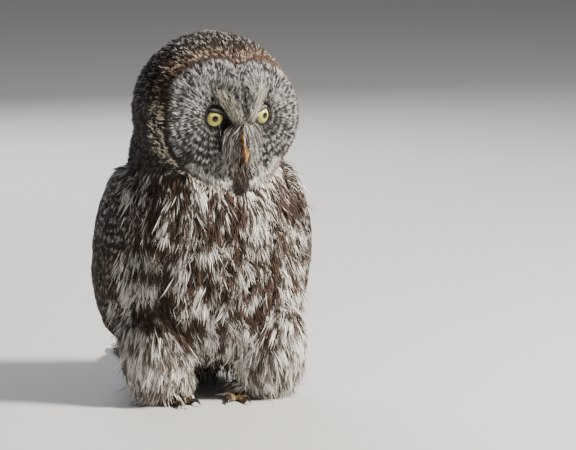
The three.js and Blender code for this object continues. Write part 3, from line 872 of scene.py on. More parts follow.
def layTufts(name, chosen, flow, look, paint, material, kind, surface=nearest, normals=None):
    # Each tuft is a fan of narrow blades on one bent middle line: the quadratic curve from
    # the root through a point over the skin half way to one over the skin at the tip. Blades
    # leave the line sideways as a share of its length, and draw together again at the tip.
    points = rootPoints[chosen]
    normals = rootNormals[chosen] if normals is None else normals
    count, blades, rows = len(points), look["blades"], look["rows"]
    length = look["length"] * (1 + look["vary"] * (rng.random(count) - 0.5)) * look["lengthShare"]
    long = length[:, None]
    heading = tangent(flow, normals)
    heading = unit(heading + np.cross(normals, heading) * rng.normal(0, look["swing"], (count, 1)))
    middle, middleNormal = surface(points + heading * long * 0.5)
    onward = tangent(unit(unit(flow) + heading), middleNormal)
    end, endNormal = surface(middle + onward * long * 0.5)
    free = np.broadcast_to(look["free"], (count,))[:, None]
    end = end * (1 - free) + free * (points + heading * long)
    rise = look["rise"] * (0.55 + 0.9 * rng.random((count, 1)))
    rise = rise * (0.35 + 0.65 * np.broadcast_to(look["lengthShare"], (count,))[:, None])
    middle = middle + middleNormal * rise * 0.8
    end = end + endNormal * rise * (1 + look["tipLift"] * rng.random((count, 1)) ** 2)
    bend = 2 * middle - (points + end) / 2
    offset = np.linspace(-1, 1, blades)[None] + rng.normal(0, look["scatter"], (count, blades))
    uneven = 1 + look["uneven"] * rng.normal(0, 1, (count, blades)).clip(-1.5, 1.5)
    reach = ((1 - look["round"] * offset ** 2) * uneven).clip(0.35, 1.2)
    s = np.linspace(0, 1, rows) ** 0.85
    t = reach[..., None] * s
    line = quadratic(t[..., None], points[:, None, None], bend[:, None, None], end[:, None, None])
    ahead = unit(end - points)
    sideways = unit(np.cross(normals + endNormal, ahead))
    over = np.cross(ahead, sideways)
    width = look["width"] * (0.8 + 0.4 * rng.random(count)) * (0.4 + 0.6 * look["lengthShare"])
    fan = (0.30 + 0.70 * t ** 0.8) * (1 - look["close"] * t.clip(0, 1) ** 3)
    fan = fan * offset[..., None] * width[:, None, None] / 2
    cup = -look["cup"] * (offset[..., None] ** 2) * width[:, None, None] * t
    waver = rng.normal(0, look["waver"], (count, blades))[..., None]
    curl = rng.normal(0, look["curl"], (count, 1))[..., None]
    bow = t ** 2 * length[:, None, None]
    line = line + (fan + (waver + curl) * bow)[..., None] * sideways[:, None, None]
    line = line + (cup + np.abs(waver) * bow * 0.5)[..., None] * over[:, None, None]
    outline = (0.35 + s) ** 0.5 * np.clip(1 - s ** look["point"], 0.03, 1) ** 0.8
    half = look["bladeWidth"] * outline[None, None] * (0.75 + 0.5 * rng.random((count, blades, 1)))
    roll = rng.normal(0, look["roll"], (count, blades, 1, 1))
    sheet = sideways[:, None, None] * np.cos(roll) + over[:, None, None] * np.sin(roll)
    verts = np.stack([line - half[..., None] * sheet, line + half[..., None] * sheet], -2)
    verts[..., 2] = np.maximum(verts[..., 2], lowest["tufts"])
    colour = paint(points, line, offset, s, t)
    colour = np.repeat(colour[:, :, :, None], 2, axis=3).clip(0.004, 0.9)
    place = bakePlace(points, kind)[:, None, None, None]
    u = (offset[..., None, None] * 0.5 + np.array([-0.15, 0.15])) + 0 * s[None, None, :, None]
    v = np.broadcast_to(s[None, None, :, None], u.shape)
    bake = place + 0.003 * np.stack([u.clip(-0.6, 0.6) * 0.8, v - 0.5], -1)
    across = np.broadcast_to(np.array([-1.0, 1.0]), u.shape)
    tone = rng.random((count, 1, 1, 1)) * toneSpan
    vane = np.stack([across + tone, v + tone], -1)
    faces = gridFaces(count * blades, rows, 2)[:, ::-1]
    uvs = {"OFBake": bake.reshape(-1, 2), "vane": vane.reshape(-1, 2)}
    newObject(name, verts.reshape(-1, 3), faces, colour.reshape(-1, 3), uvs, material)
    print(name, count, "tufts", len(faces) * 2, "triangles")


def jitterOver(offset, t):
    # one random value for each blade
    return rng.random(offset.shape)[..., None] + 0 * t


print("stage: face")
faceLook = dict(
    tuftLook, spacing=0.00155, blades=2, length=0.0092, swing=0.12, rise=0.0024, tipLift=0.8,
    width=0.0024, close=0.0,
)


def paintFace(points, line, offset, s, t):
    # the face's colours at each blade's own place, lighter towards the tip: painted shade darkens them
    # towards the root
    jitter = jitterOver(offset, t)
    colour = faceColour(line, jitter)
    return colour * (0.62 + 0.42 * t + 0.30 * (jitter - 0.5))[..., None]


left, up, ahead = toHead(rootPoints + rootNormals * rootPlan["coat"])
share = rimShare(left, up)
isFace = (rootRegion == "head") & (share < rootPlan["face"]) & (ahead > rootPlan["faceBack"])
eyeAway = np.hypot(np.abs(left) - birdPlan["eyeSpread"], up)
billHalf, billLow, billHigh = rootPlan["bill"]
onBill = (np.abs(left) < billHalf) & (up < billHigh) & (up > billLow)


def layFace():
    chosen = thin(allRoots[isFace & (eyeAway > rootPlan["eyeGap"]) & ~onBill], faceLook["spacing"])
    side = np.abs(left[chosen])
    near = smooth(0.011, 0.022, eyeAway[chosen])
    lifted = smooth(0.0095, 0.004, curveDistance(side, up[chosen], faceMarks["brow"])[0])
    chin = smooth(0.013, 0.006, side) * smooth(-0.048, -0.058, up[chosen])
    share = 0.45 + 0.55 * near + 1.1 * lifted + 0.9 * chin
    flow = faceFlow(rootPoints[chosen])
    onLeft = left[chosen] >= 0
    for name, part in [("face_feathers_right", ~onLeft), ("face_feathers_left", onLeft)]:
        look = dict(faceLook, lengthShare=share[part])
        layTufts(name, chosen[part], flow[part], look, paintFace, faceMaterial, "face")


layFace()

# The brows stand out over the inner sides of the eyes, which makes the look stern.
browLook = dict(
    tuftLook, spacing=0.0012, length=0.013, swing=0.18, rise=0.0058, tipLift=0.6, bladeWidth=0.00048,
    shade=(0.10, 0.094, 0.075), leftLonger=1.25,
    # along the brow: places, half widths, and places again with shares of the length
    at=[0, 0.2, 0.7, 1], half=[0.0020, 0.0045, 0.0055, 0.0030],
    lengthAt=[0, 0.35, 0.75, 1], lengths=[0.45, 1.0, 1.0, 0.55],
)


def paintBrows(points, line, offset, s, t):
    # grey or cream by blade, with dark tips, and painted shade darker towards the roots
    jitter = 0.5 * rng.random(len(points))[:, None, None] + 0.5 * jitterOver(offset, t)
    tone = mix(browLook["shade"], colours["cream"], smooth(0.30, 0.62, jitter))
    dark = smooth(0.9, 1.0, s)[None, None] * 0.35 + 0 * t
    return mix(tone, colours["dark"], dark) * (0.55 + 0.5 * t)[..., None]


def layBrows():
    away, place = curveDistance(np.abs(left), up, faceMarks["brow"])
    limit = np.interp(place, browLook["at"], browLook["half"])
    chosen = thin(allRoots[isFace & (away < limit) & (eyeAway > 0.0120)], browLook["spacing"])
    sign = np.where(left[chosen] < 0, -1.0, 1.0)[:, None]
    flow = 0.55 * sign * headLeft + 1.0 * headUp[None]
    share = np.interp(place[chosen], browLook["lengthAt"], browLook["lengths"])
    look = dict(browLook, lengthShare=share * np.where(left[chosen] > 0, browLook["leftLonger"], 1.0))
    layTufts("brow_feathers", chosen, flow, look, paintBrows, faceMaterial, "face")


layBrows()

# Hair-like bristles from the brows' lower ends stream down over the root of the bill.
bristleLook = dict(
    tuftLook, spacing=0.0011, blades=4, rows=6, length=0.022, vary=0.3, swing=0.10, tipLift=0.8,
    width=0.0032, bladeWidth=0.00045, point=3.0, curl=0.06, halfRidge=0.003,
    dark=(0.055, 0.048, 0.042), pale=(0.52, 0.50, 0.455), chin=(0.050, 0.036, 0.030),
    ridgeDown=[0.008, 0.019, 0.030, 0.036], ridgeAhead=[0.029, 0.0315, 0.0362, 0.0368],
)
# the bristles lie over the skin and a narrow ridge on the bill
ridgeRows = 8
down = np.linspace(bristleLook["ridgeDown"][0], bristleLook["ridgeDown"][-1], ridgeRows).repeat(2)
ridge = headPoint(
    np.tile([-bristleLook["halfRidge"], bristleLook["halfRidge"]], ridgeRows), -down,
    np.interp(down, bristleLook["ridgeDown"], bristleLook["ridgeAhead"]),
)
coverTree = BVHTree.FromPolygons(
    skinVerts.tolist() + ridge.tolist(),
    skinFaces.tolist() + (gridFaces(1, ridgeRows, 2) + len(skinVerts)).tolist(),
)


def nearestCover(points):
    # the cover's normals are turned to point ahead
    found = [coverTree.find_nearest(p) for p in points.tolist()]
    places, facing = np.array([f[0] for f in found]), np.array([f[1] for f in found])
    return places, np.where((facing @ headAhead > 0)[:, None], facing, headAhead)


def paintBristles(points, line, offset, s, t):
    # dark or pale by blade, and dark on the chin; painted shade makes them darker towards the roots
    jitter = jitterOver(offset, t)
    tone = mix(bristleLook["dark"], bristleLook["pale"], smooth(0.35, 0.75, jitter))
    left, up, _ = toHead(line)
    low = smooth(-0.034, -0.052, up) * smooth(0.016, 0.009, np.abs(left))
    return mix(tone, bristleLook["chin"], 0.75 * low) * (0.7 + 0.35 * t)[..., None]


def layBristles():
    side = np.abs(left)
    near = (rootRegion == "head") & (side < 0.014) & (up < -0.001) & (up > -0.046) & ~onBill
    near = near & ~((side > 0.010) & (up > -0.010))
    chosen = thin(allRoots[near], bristleLook["spacing"])
    l, u = left[chosen], up[chosen]
    over = smooth(0.0065, 0.0035, np.abs(l))
    # those above the bill end where its bare ridge begins
    wanted = np.where(over > 0.5, np.clip(u + 0.038, 0.004, 0.031), 0.024)
    flow = (0.32 * l / 0.010 * (1 - 0.8 * over))[:, None] * headLeft - headUp[None]
    look = dict(bristleLook, lengthShare=wanted / bristleLook["length"])
    layTufts("bill_bristles", chosen, flow, look, paintBristles, faceMaterial, "face", nearestCover)


layBristles()

# The rim: short stiff feathers in rows that stand up a little round the disc.
rimLook = dict(
    tuftLook, spacing=0.0021, rows=4, length=0.0095, swing=0.16, rise=0.0034, bladeWidth=0.0008,
    waver=0.05, point=2.4, round=0.2,
    base=(0.058, 0.032, 0.022), tip=(0.35, 0.265, 0.20), bead=(0.80, 0.72, 0.58),
)


def paintRim(points, line, offset, s, t):
    # brown-black above, black below; half the tufts end in a spot, buff above and cream below
    left, up, _ = toHead(line)
    dark = smooth(1.026, 1.006, rimShare(left, up))
    low = smooth(0.035, -0.010, up)
    spot = (rng.random(len(points)) < 0.46 + 0.12 * low[:, 0, 0])[:, None, None]
    base = mix(rimLook["base"], colours["dark"], 0.25 + 0.75 * low)
    tip = mix(rimLook["tip"], rimLook["bead"], low)
    pale = spot * (1 - dark) * smooth(0.30, 0.6, s)[None, None]
    return mix(base, tip, pale)


def layRim():
    inner, outer = rootPlan["rim"]
    inRim = (rootRegion == "head") & (share > inner) & (share < outer) & (ahead > rootPlan["rimBack"])
    chosen = thin(allRoots[inRim], rimLook["spacing"])
    l, u, _ = toHead(rootPoints[chosen])
    outward = l[:, None] * headLeft + (u + birdPlan["discDrop"])[:, None] * headUp
    layTufts("rim_feathers", chosen, outward, rimLook, paintRim, faceMaterial, "head")


layRim()

print("stage: head")
crownLook = dict(
    tuftLook, spacing=0.0025, length=0.0105, vary=0.4, swing=0.14, rise=0.0038, tipLift=0.4,
    bladeWidth=0.00082, cup=0.12, waver=0.04, point=2.6, round=0.22, close=0.3,
    # the ground and its spots: at the sides, over the crown and behind
    ground=[(0.022, 0.016, 0.013), (0.034, 0.021, 0.015), (0.040, 0.035, 0.031)],
    spots=[(0.72, 0.69, 0.66), (0.42, 0.32, 0.24), (0.27, 0.255, 0.24)],
)


def paintCrown(points, line, offset, s, t):
    # dark, with a pale bar over the end of some tufts and a second bar behind
    _, up, ahead = toHead(points)
    over = smooth(-0.019, -0.010, ahead) * smooth(0.020, 0.045, up)
    rear = smooth(0.045, 0.0, up)
    grounds, spots = crownLook["ground"], crownLook["spots"]
    ground = mix(mix(grounds[0], grounds[1], over), grounds[2], rear)
    spot = mix(mix(spots[0], spots[1], 0.85 * over), spots[2], rear * 0.9)
    kind = rng.random(len(points))
    marked = (kind > 0.76 - 0.10 * over - 0.24 * rear) * 1.0
    bar = smooth(0.74, 0.86, s)[None, None] * marked[:, None, None]
    second = smooth(0.13, 0.05, np.abs(s - 0.42))[None, None] * rear[:, None, None] * 0.6
    pale = np.maximum(bar, second) * (0.6 + 0.4 * rng.random(offset.shape)[..., None])
    return mix(np.broadcast_to(ground[:, None, None], t.shape + (3,)), spot[:, None, None], pale + 0 * t)


behind = (rootRegion == "head") & ((share > rootPlan["crown"]) | (ahead < rootPlan["faceBack"]))
underDisc = smooth(-0.052, -0.066, up) * smooth(-0.115, -0.085, ahead)
lowNape = smooth(-0.030, -0.070, up) * (1 - underDisc)


def layCrown():
    chosen = thin(allRoots[behind & (underDisc < 0.5)], crownLook["spacing"])
    flow = headFlow(rootPoints[chosen])
    for name, part in [("crown_feathers", up[chosen] > 0.02), ("nape_feathers", up[chosen] <= 0.02)]:
        look = dict(crownLook, lengthShare=1 + 0.7 * lowNape[chosen][part])
        layTufts(name, chosen[part], flow[part], look, paintCrown, downMaterial, "head")


layCrown()

print("stage: body")
bodyLook = dict(
    tuftLook, blades=9, length=0.032, vary=0.6, swing=0.20, rise=0.0080, tipLift=0.8, width=0.0125,
    bladeWidth=0.00088, cup=0.16, waver=0.055, point=1.8, round=0.28, close=0.45, curl=0.15, spacing=0.0046,
    bars=3.6, belly=0.19, lowerBelly=0.12,
)
backLook = dict(bodyLook, length=0.025, rise=0.0046, waver=0.015, curl=0.04, bladeWidth=0.0012, blades=7)


def paintedGapShade(points):
    # painted shade: the colour is darkened in the gap between the legs
    p = points - shift
    deep = smooth(0.030, 0.017, np.abs(p[:, 0] + 0.010)) * smooth(0.075, 0.050, p[:, 2])
    return (1 - 0.75 * deep)[:, None, None, None]


def paintedRootAndGapShade(points, t):
    # painted shade: darker towards the roots of the tufts, and in the gap between the legs
    return (0.50 + 0.55 * smooth(0.0, 0.5, t))[..., None] * paintedGapShade(points)


def crossBars(offset, t, slant):
    # a sine along the tuft, at a random phase, that lags towards its sides
    phase = rng.random(len(offset))[:, None, None]
    turns = t * bodyLook["bars"] + phase + slant * np.abs(offset)[..., None]
    return 0.5 + 0.5 * np.sin(2 * math.pi * turns)


def paintBody(points, line, offset, s, t):
    # a dark streak down the middle of each tuft, which gives way to cross bars lower down
    count = len(points)
    wide = (0.22 + 0.34 * rng.random(count))[:, None]
    streak = smooth(0.28, -0.10, np.abs(offset) - wide)[..., None] + 0 * t
    low = smooth(0.20, 0.14, points[:, 2] - shift[2])[:, None, None]
    bars = crossBars(offset, t, 0.5)
    streak = streak * (1 - 0.5 * low) + low * 0.55 * smooth(0.45, 0.8, bars)
    jitter = 0.5 * rng.random(count)[:, None, None] + 0.5 * jitterOver(offset, t)
    where = points[:, None, None] + (line - points[:, None, None]) * 0.6
    colour = bodyColour(where, streak, jitter)
    back = backColour(line, jitter)
    colour = mix(back, colour, frontShare(points)[:, None, None] + 0 * t)
    return colour * paintedRootAndGapShade(points, t)


def layBody():
    onBody = np.isin(rootRegion, ["neck", "trunk"]) | (behind & (underDisc >= 0.5))
    chosen = thin(allRoots[onBody], bodyLook["spacing"])
    points = rootPoints[chosen]
    height = points[:, 2] - shift[2]
    front = frontShare(points)
    flow = bodyFlow(points, hang=front * smooth(0.20, 0.12, height))
    # the breast's upper feathers spread a little to the sides; lower down they part in swirls
    flow[:, 0] += 0.25 * (points[:, 0] - shift[0]) / 0.11 * smooth(0.22, 0.27, height)
    swirl = softNoise(points, 42, 24) - 0.5
    flow[:, 0] += 1.5 * swirl * front * (0.35 + 0.65 * smooth(0.23, 0.17, height))
    top = smooth(0.235, 0.275, height)
    middle = smooth(0.034, 0.016, np.abs(points[:, 0] - shift[0]))
    hang = smooth(0.085, 0.05, height) * front * (0.3 + 0.7 * middle)
    belly, lowerBelly = bodyLook["belly"], bodyLook["lowerBelly"]
    for name, part in [
        ("breast_feathers", (front > 0.5) & (height > belly)),
        ("belly_feathers", (front > 0.5) & (height <= belly) & (height > lowerBelly)),
        ("lower_belly_feathers", (front > 0.5) & (height <= lowerBelly)),
        ("back_feathers", front <= 0.5),
    ]:
        look = backLook if name == "back_feathers" else bodyLook
        look = dict(look, lengthShare=1 - 0.35 * top[part], free=0.75 * hang[part])
        layTufts(name, chosen[part], flow[part], look, paintBody, downMaterial, "body")


layBody()

print("stage: legs and feet")
legLook = dict(
    bodyLook, length=0.036, width=0.011, rise=0.0075, curl=0.08,
    shade=(0.48, 0.45, 0.40), dark=(0.085, 0.055, 0.038),
    blotch=(130, 280), stretch=0.55, cut=(0.425, 0.54), barDepth=0.22,
)


def paintLegs(points, line, offset, s, t):
    # noise, drawn out downwards and crossed by sine bars, cut into white and dark
    bars = crossBars(offset, t, 0.6)
    jitter = jitterOver(offset, t)
    blotch = twoNoise(line * np.array([1, 1, legLook["stretch"]]), legLook["blotch"], 41)
    dark = smooth(*legLook["cut"], blotch + legLook["barDepth"] * (bars - 0.5))
    pale = mix(colours["white"], legLook["shade"], 0.6 * jitter)
    colour = mix(pale, legLook["dark"], dark * 0.92)
    return colour * paintedRootAndGapShade(points, t)


def layLegs():
    chosen = thin(allRoots[rootRegion == "leg"], legLook["spacing"])
    points = rootPoints[chosen]
    away, height = points[:, 0] - shift[0], points[:, 2] - shift[2]
    flow = np.stack([0.04 * np.sign(away), 0 * away, -1 + 0 * away], -1)
    flow[:, 0] += 0.7 * (softNoise(points, 45, 43) - 0.5)
    # the lowest hang free and end just over the floor
    free = 0.85 * smooth(0.075, 0.040, height)
    look = dict(legLook, lengthShare=np.clip((height + 0.004) / 0.034, 0.25, 1), free=free)
    layTufts("leg_feathers", chosen, flow, look, paintLegs, downMaterial, "pair")


underLook = dict(
    bodyLook, free=1.0, rise=0.002, blades=6, spacing=0.0060,
    # the feathers' mottle, darkened by painted shade
    dark=(0.045, 0.034, 0.027), pale=(0.30, 0.27, 0.235),
)


def paintShadedUnder(points, line, offset, s, t):
    # dark with pale specks of noise: mottled feathers darkened by painted shade, as they hang in the gap
    # behind the legs
    jitter = jitterOver(offset, t)
    speck = smooth(0.55, 0.7, softNoise(line, 260, 52))
    return mix(underLook["dark"], underLook["pale"], speck) * (0.6 + 0.5 * jitter)[..., None]


def layUnderTail():
    # loose dark feathers behind the legs hang from the rump's underside to the floor; their darkness is
    # partly painted shade
    away = np.abs(rootPoints[:, 0] - shift[0])
    deep, height = rootPoints[:, 1] - shift[1], rootPoints[:, 2] - shift[2]
    under = np.isin(rootRegion, ["trunk", "tail"]) & (away < 0.070) & (deep > 0.006) & (deep < 0.048)
    under = under & (rootNormals[:, 2] < 0.1) & (height < 0.085)
    chosen = thin(allRoots[under], underLook["spacing"])
    points = rootPoints[chosen]
    flow = np.array([[0.0, 0.15, -1.0]]) + 0.2 * rng.normal(0, 1, (len(points), 1)) * np.array([[1, 0, 0]])
    drop = np.clip((points[:, 2] - 0.001) / underLook["length"], 0.25, 1.6)
    look = dict(underLook, lengthShare=drop * (0.55 + 0.45 * rng.random(len(points)) ** 0.5))
    normals = unit(rootNormals[chosen] * np.array([1, 1, 0.15]) + np.array([0, -0.3, 0]))
    layTufts("undertail_feathers", chosen, flow, look, paintShadedUnder, downMaterial, "body", normals=normals)


wispLook = dict(
    tuftLook, spacing=0.010, most=22, rows=7, length=0.019, vary=0.4, rise=0.004, width=0.0070,
    bladeWidth=0.00040, waver=0.15, point=3.0, close=-0.6, curl=0.25, free=1.0,
)


def layWisps():
    # a few single strands stand off the left flank, at two heights
    height = rootPoints[:, 2] - shift[2]
    side = rootPoints[:, 0] - shift[0]
    ahead = -(rootPoints[:, 1] - shift[1])
    flank = (side > 0.088) & (ahead > -0.01) & (ahead < 0.06)
    at = (np.abs(height - 0.186) < 0.009) | (np.abs(height - 0.100) < 0.014)
    chosen = thin(allRoots[flank & at & (rootRegion == "trunk")], wispLook["spacing"])[:wispLook["most"]]
    flow = np.array([[0.8, -0.2, -0.7]]) + rng.normal(0, 0.15, (len(chosen), 3))
    normals = unit(np.cross(flow, np.array([[0.0, 1.0, 0.0]])))
    layTufts("flank_wisps", chosen, flow, wispLook, paintLegs, downMaterial, "body", normals=normals)


footLook = dict(
    tuftLook, spacing=0.0014, blades=2, rows=3, length=0.0085, rise=0.0016, width=0.0028,
    bladeWidth=0.0007, waver=0.05, point=2.0, close=0.0, pale=(0.42, 0.28, 0.14), dark=(0.12, 0.080, 0.045),
)
heels = np.array([(0.027, -0.030), (-0.047, -0.030)])


def paintFeet(points, line, offset, s, t):
    # fawn with dark specks of noise
    jitter = jitterOver(offset, t)
    speck = smooth(0.45, 0.65, softNoise(line, 420, 51))
    colour = mix(footLook["pale"], footLook["dark"], speck)
    return colour * (0.75 + 0.4 * jitter)[..., None]


def layFeet():
    chosen = allRoots[(rootRegion == "foot") & (rootPoints[:, 2] > 0.0022) & (rootNormals[:, 2] > -0.25)]
    chosen = thin(chosen, footLook["spacing"])
    points = rootPoints[chosen]
    flat = points[:, :2] - shift[:2]
    heel = heels[np.where(flat[:, 0] > -0.010, 0, 1)]
    flow = np.concatenate([flat - heel, np.full((len(points), 1), -0.004)], 1)
    layTufts("foot_feathers", chosen, flow, footLook, paintFeet, downMaterial, "pair")


layLegs()
layUnderTail()
layWisps()
layFeet()

print("stage: wings and tail")


# Shares of a vane's half width, and how many barbs there are to a metre.
vaneLook = {"fray": 0.05, "droop": 0.16, "barbs": 120}


def layVanes(name, line, sideways, over, half, paint, places, columns=5):
    # Broad vanes: a grid carried along a middle line. The outline is the half width times a
    # blunt profile, and the edges lie lower than the shaft.
    count, rows = line.shape[:2]
    across = np.linspace(-1, 1, columns)
    s = np.linspace(0, 1, rows)
    fray = 1 + vaneLook["fray"] * rng.normal(0, 1, (count, rows, 1)) * np.abs(across)
    verts = (
        line[:, :, None]
        + (half[:, :, None] * across * fray)[..., None] * sideways[:, :, None]
        - (vaneLook["droop"] * half[:, :, None] * across ** 2)[..., None] * over[:, :, None]
    )
    verts[..., 2] = np.maximum(verts[..., 2], lowest["vanes"])
    colour = paint(verts, across, s).clip(0.004, 0.9)
    u = np.broadcast_to(across, verts.shape[:3])
    v = np.broadcast_to(s[None, :, None], verts.shape[:3])
    tone = rng.random((count, 1, 1)) * toneSpan
    vane = np.stack([u, v * half.max(1)[:, None, None] * vaneLook["barbs"] + tone], -1)
    bake = places(u, v)
    faces = gridFaces(count, rows, columns)[:, ::-1]
    uvs = {"OFBake": bake.reshape(-1, 2), "vane": vane.reshape(-1, 2)}
    newObject(name, verts.reshape(-1, 3), faces, colour.reshape(-1, 3), uvs, vaneMaterial)
    print(name, count, "vanes", len(faces) * 2, "triangles")


def bluntHalf(s, width, base=0.45, blunt=3.2):
    # rises from the base share to full width, then closes as 1 - s^blunt
    rise = base + (1 - base) * smooth(0, 0.35, s)
    return width * rise * np.sqrt(np.clip(1 - s ** blunt, 0.0015, 1))


covertLook = {
    "length": 0.040, "width": 0.0090, "rows": 11, "rise": 0.0046, "spacing": 0.0074, "lean": 14.0,
    "last": 7.9, "swing": 0.10, "bars": 2.6, "barSlant": 0.30, "fine": (420, 850),
    "dark": (0.028, 0.022, 0.018), "upperSpot": (0.40, 0.39, 0.37), "lowerSpot": (0.25, 0.215, 0.175),
}


def coverts():
    # short broad vanes in rows over the wing, each on a quadratic curve from root to end
    look = covertLook
    chosen = thin(allRoots[rootRegion == "wing"], look["spacing"])
    points, normals = rootPoints[chosen], rootNormals[chosen]
    place = placeOnPath(points)
    keep = place < look["last"]
    points, normals, place = points[keep], normals[keep], place[keep]
    flow = tangent(bodyFlow(points, look["lean"]), normals)
    count = len(points)
    size = 0.55 + 0.55 * smooth(2.4, 6.5, place) + 0.15 * rng.random(count)
    length = (look["length"] * size)[:, None]
    flow = unit(flow + np.cross(normals, flow) * rng.normal(0, look["swing"], count)[:, None])
    middle, middleNormal = nearest(points + flow * length * 0.5)
    end, endNormal = nearest(points + flow * length)
    rise = (look["rise"] * (0.7 + 0.6 * rng.random(count)))[:, None]
    middle, end = middle + middleNormal * rise * 0.9, end + endNormal * rise
    s = np.linspace(0, 1, look["rows"])[None, :, None]
    bend = 2 * middle - (points + end) / 2
    line = quadratic(s, points[:, None], bend[:, None], end[:, None])
    ahead = unit(end - points)
    sideways = unit(np.cross(normals + endNormal, ahead))[:, None] + 0 * line
    over = np.cross(ahead[:, None] + 0 * line, sideways)
    half = bluntHalf(s[..., 0], look["width"]) * size[:, None]
    spots = rng.random(count)[:, None, None]

    def paint(verts, across, s):
        # sine bars that bend back towards the edges, broken up by noise, and a dark shaft
        v = s[None, :, None]
        wave = np.sin(2 * math.pi * (v * look["bars"] - look["barSlant"] * np.abs(across) + spots * 3))
        fine = twoNoise(verts, look["fine"], 61, 0.55)
        pale = smooth(0.44, 0.74, 0.44 + 0.15 * wave + 1.0 * (fine - 0.5) + 0.10 * (np.abs(across) - 0.5))
        pale = pale * (0.20 + 0.80 * smooth(0.05, 0.5, np.abs(across) + 0 * v))
        lower = smooth(0.21, 0.16, verts[..., 2])[..., None]
        spot = look["upperSpot"] * (1 - lower) + look["lowerSpot"] * lower
        return mix(look["dark"], spot, pale) * (0.8 + 0.35 * spots)[..., None]

    root = bakePlace(points, "wings")[:, None, None]

    def places(u, v):
        return root + 0.003 * np.stack([u * 0.5, v - 0.5], -1)

    layVanes("wing_coverts", line, sideways, over, half, paint, places)


coverts()

wingEdges = {
    "at": [2.1, 2.6, 3.4, 4.5, 5.6, 6.8, 8.2, 9.6, 10.9, 12.0, 12.6, 13.0],
    "fore": [88, 72, 65, 68, 76, 86, 93, 95, 98, 106, 116, 134],
    "rear": [104, 122, 137, 151, 163, 171, 174, 175, 174, 172, 168, 159],
}
remexLook = {
    "count": 19, "rows": 52, "width": 0.0105, "first": 5.0, "stack": 0.00034, "out": 0.0084,
    "shortest": 0.12, "longest": 0.27, "bar": 0.026, "base": 0.0015,
    "barSlant": 0.10, "uneven": 0.16, "tone": (0.75, 0.5), "fine": (430, 240), "seed": 71,
    "cut": (0.40, 0.78), "level": 0.45, "barDepth": 0.26, "fineDepth": 0.8, "shaft": 0.16,
    "dark": (0.032, 0.025, 0.020), "pale": (0.36, 0.33, 0.29), "fringe": (0.30, 0.27, 0.235),
    "fringeShare": 0.6, "fringeFrom": (0.74, 0.96), "fringeAlong": (0.2, 0.6),
}


def layQuills(name, line, sideways, ahead, half, look, bars):
    # Pale bars are a sine along the vane, broken up by noise. The shaft is dark and the edges
    # have a fringe. On the bake map each quill has a row of its own.
    count = look["count"]
    offset = rng.normal(0, look["uneven"], (count, 1, 1))
    tone = look["tone"][0] + look["tone"][1] * rng.random((count, 1, 1))

    def paint(verts, across, s):
        v = s[None, :, None]
        side = np.abs(across) + 0 * v
        bar = np.sin(2 * math.pi * (v * bars + look["barSlant"] * side + offset))
        fine = look["fineDepth"] * (twoNoise(verts, look["fine"], look["seed"]) - 0.5)
        pale = smooth(*look["cut"], look["level"] + look["barDepth"] * bar + fine)
        pale = pale * (1 - 0.6 * smooth(look["shaft"], 0.0, side))
        colour = mix(look["dark"], look["pale"], pale) * tone[..., None]
        fringe = smooth(*look["fringeFrom"], side) * smooth(*look["fringeAlong"], v)
        return mix(colour, look["fringe"], look["fringeShare"] * fringe)

    def places(u, v):
        row = (np.arange(count)[:, None, None] + 0.5 + 0.42 * u) / count
        return np.stack([0.01 + 0.98 * v, row], -1)

    layVanes(name, line, sideways, np.cross(ahead, sideways), half, paint, places, columns=9)


def remiges(sign, name):
    # each quill runs down the wing between its edges; those nearest the fore edge reach furthest
    look = remexLook
    count = look["count"]
    order = np.linspace(0, 1, count)[:, None]
    s = np.linspace(0, 1, look["rows"])[None]
    start = look["first"] + 2.2 * order
    stop = 9.0 + 3.85 * smooth(0, 1, order) ** 0.75
    place = start + (stop - start) * s
    fore = np.interp(place, wingEdges["at"], wingEdges["fore"])
    rear = np.interp(place, wingEdges["at"], wingEdges["rear"])
    share = 0.93 - 0.86 * order + 0.12 * s * order
    angle = np.radians(fore + (rear - fore) * share)
    thick = look["out"] * np.interp(place, [5, 8, 10, 13], [1.0, 1.15, 0.8, 0.4])
    # the bases lie under the coverts
    thick = look["base"] + (thick - look["base"]) * smooth(0.0, 0.45, s)
    out = thick + look["stack"] * (count - 1) * (1 - order) * smooth(0.1, 0.5, s)
    line = bodyPoint(place, sign * angle, out)
    ahead = unit(np.gradient(line, axis=1))
    above = unit(bodyPoint(place, sign * angle, out + 0.004) - line)
    sideways = unit(np.cross(above, ahead))
    half = bluntHalf(s, look["width"], 0.55, 6.0) * (0.80 + 0.20 * np.sin(math.pi * order))
    half = half * np.interp(place, [5, 8, 11, 13], [1.05, 1.0, 0.8, 0.7])
    bars = np.linspace(look["shortest"], look["longest"], count)[:, None, None] / look["bar"]
    layQuills(name, line, sideways, ahead, half, look, bars)


remiges(1, "flight_feathers_left")
remiges(-1, "flight_feathers_right")

tailLook = {
    "count": 12, "rows": 56, "width": 0.0140, "spreadRoot": 0.030, "spreadTip": 0.050,
    "root": 0.088, "tip": 0.292, "bars": 8.0, "start": 0.100, "length": 0.1915, "shorter": 0.017,
    "heights": (0.052, 0.002), "sag": 0.009, "thick": (0.012, 0.005), "arch": 0.007, "lowest": 0.0042,
    "barSlant": 0.22, "uneven": 0.10, "tone": (0.8, 0.4), "fine": (520, 260), "seed": 81,
    "cut": (0.30, 0.80), "level": 0.52, "barDepth": 0.20, "fineDepth": 1.1, "shaft": 0.14,
    "dark": (0.050, 0.040, 0.033), "pale": (0.44, 0.42, 0.39), "fringe": (0.10, 0.085, 0.072),
    "fringeShare": 0.7, "fringeFrom": (0.78, 0.97), "fringeAlong": (-1, 0),
}


def tailLevel(share):
    # the upper face sinks on a straight line less a shallow sine, plus the tail's thickness
    high, low = tailLook["heights"]
    top = high + (low - high) * share - tailLook["sag"] * np.sin(math.pi * share)
    return top + np.interp(share, [0, 0.625], tailLook["thick"])


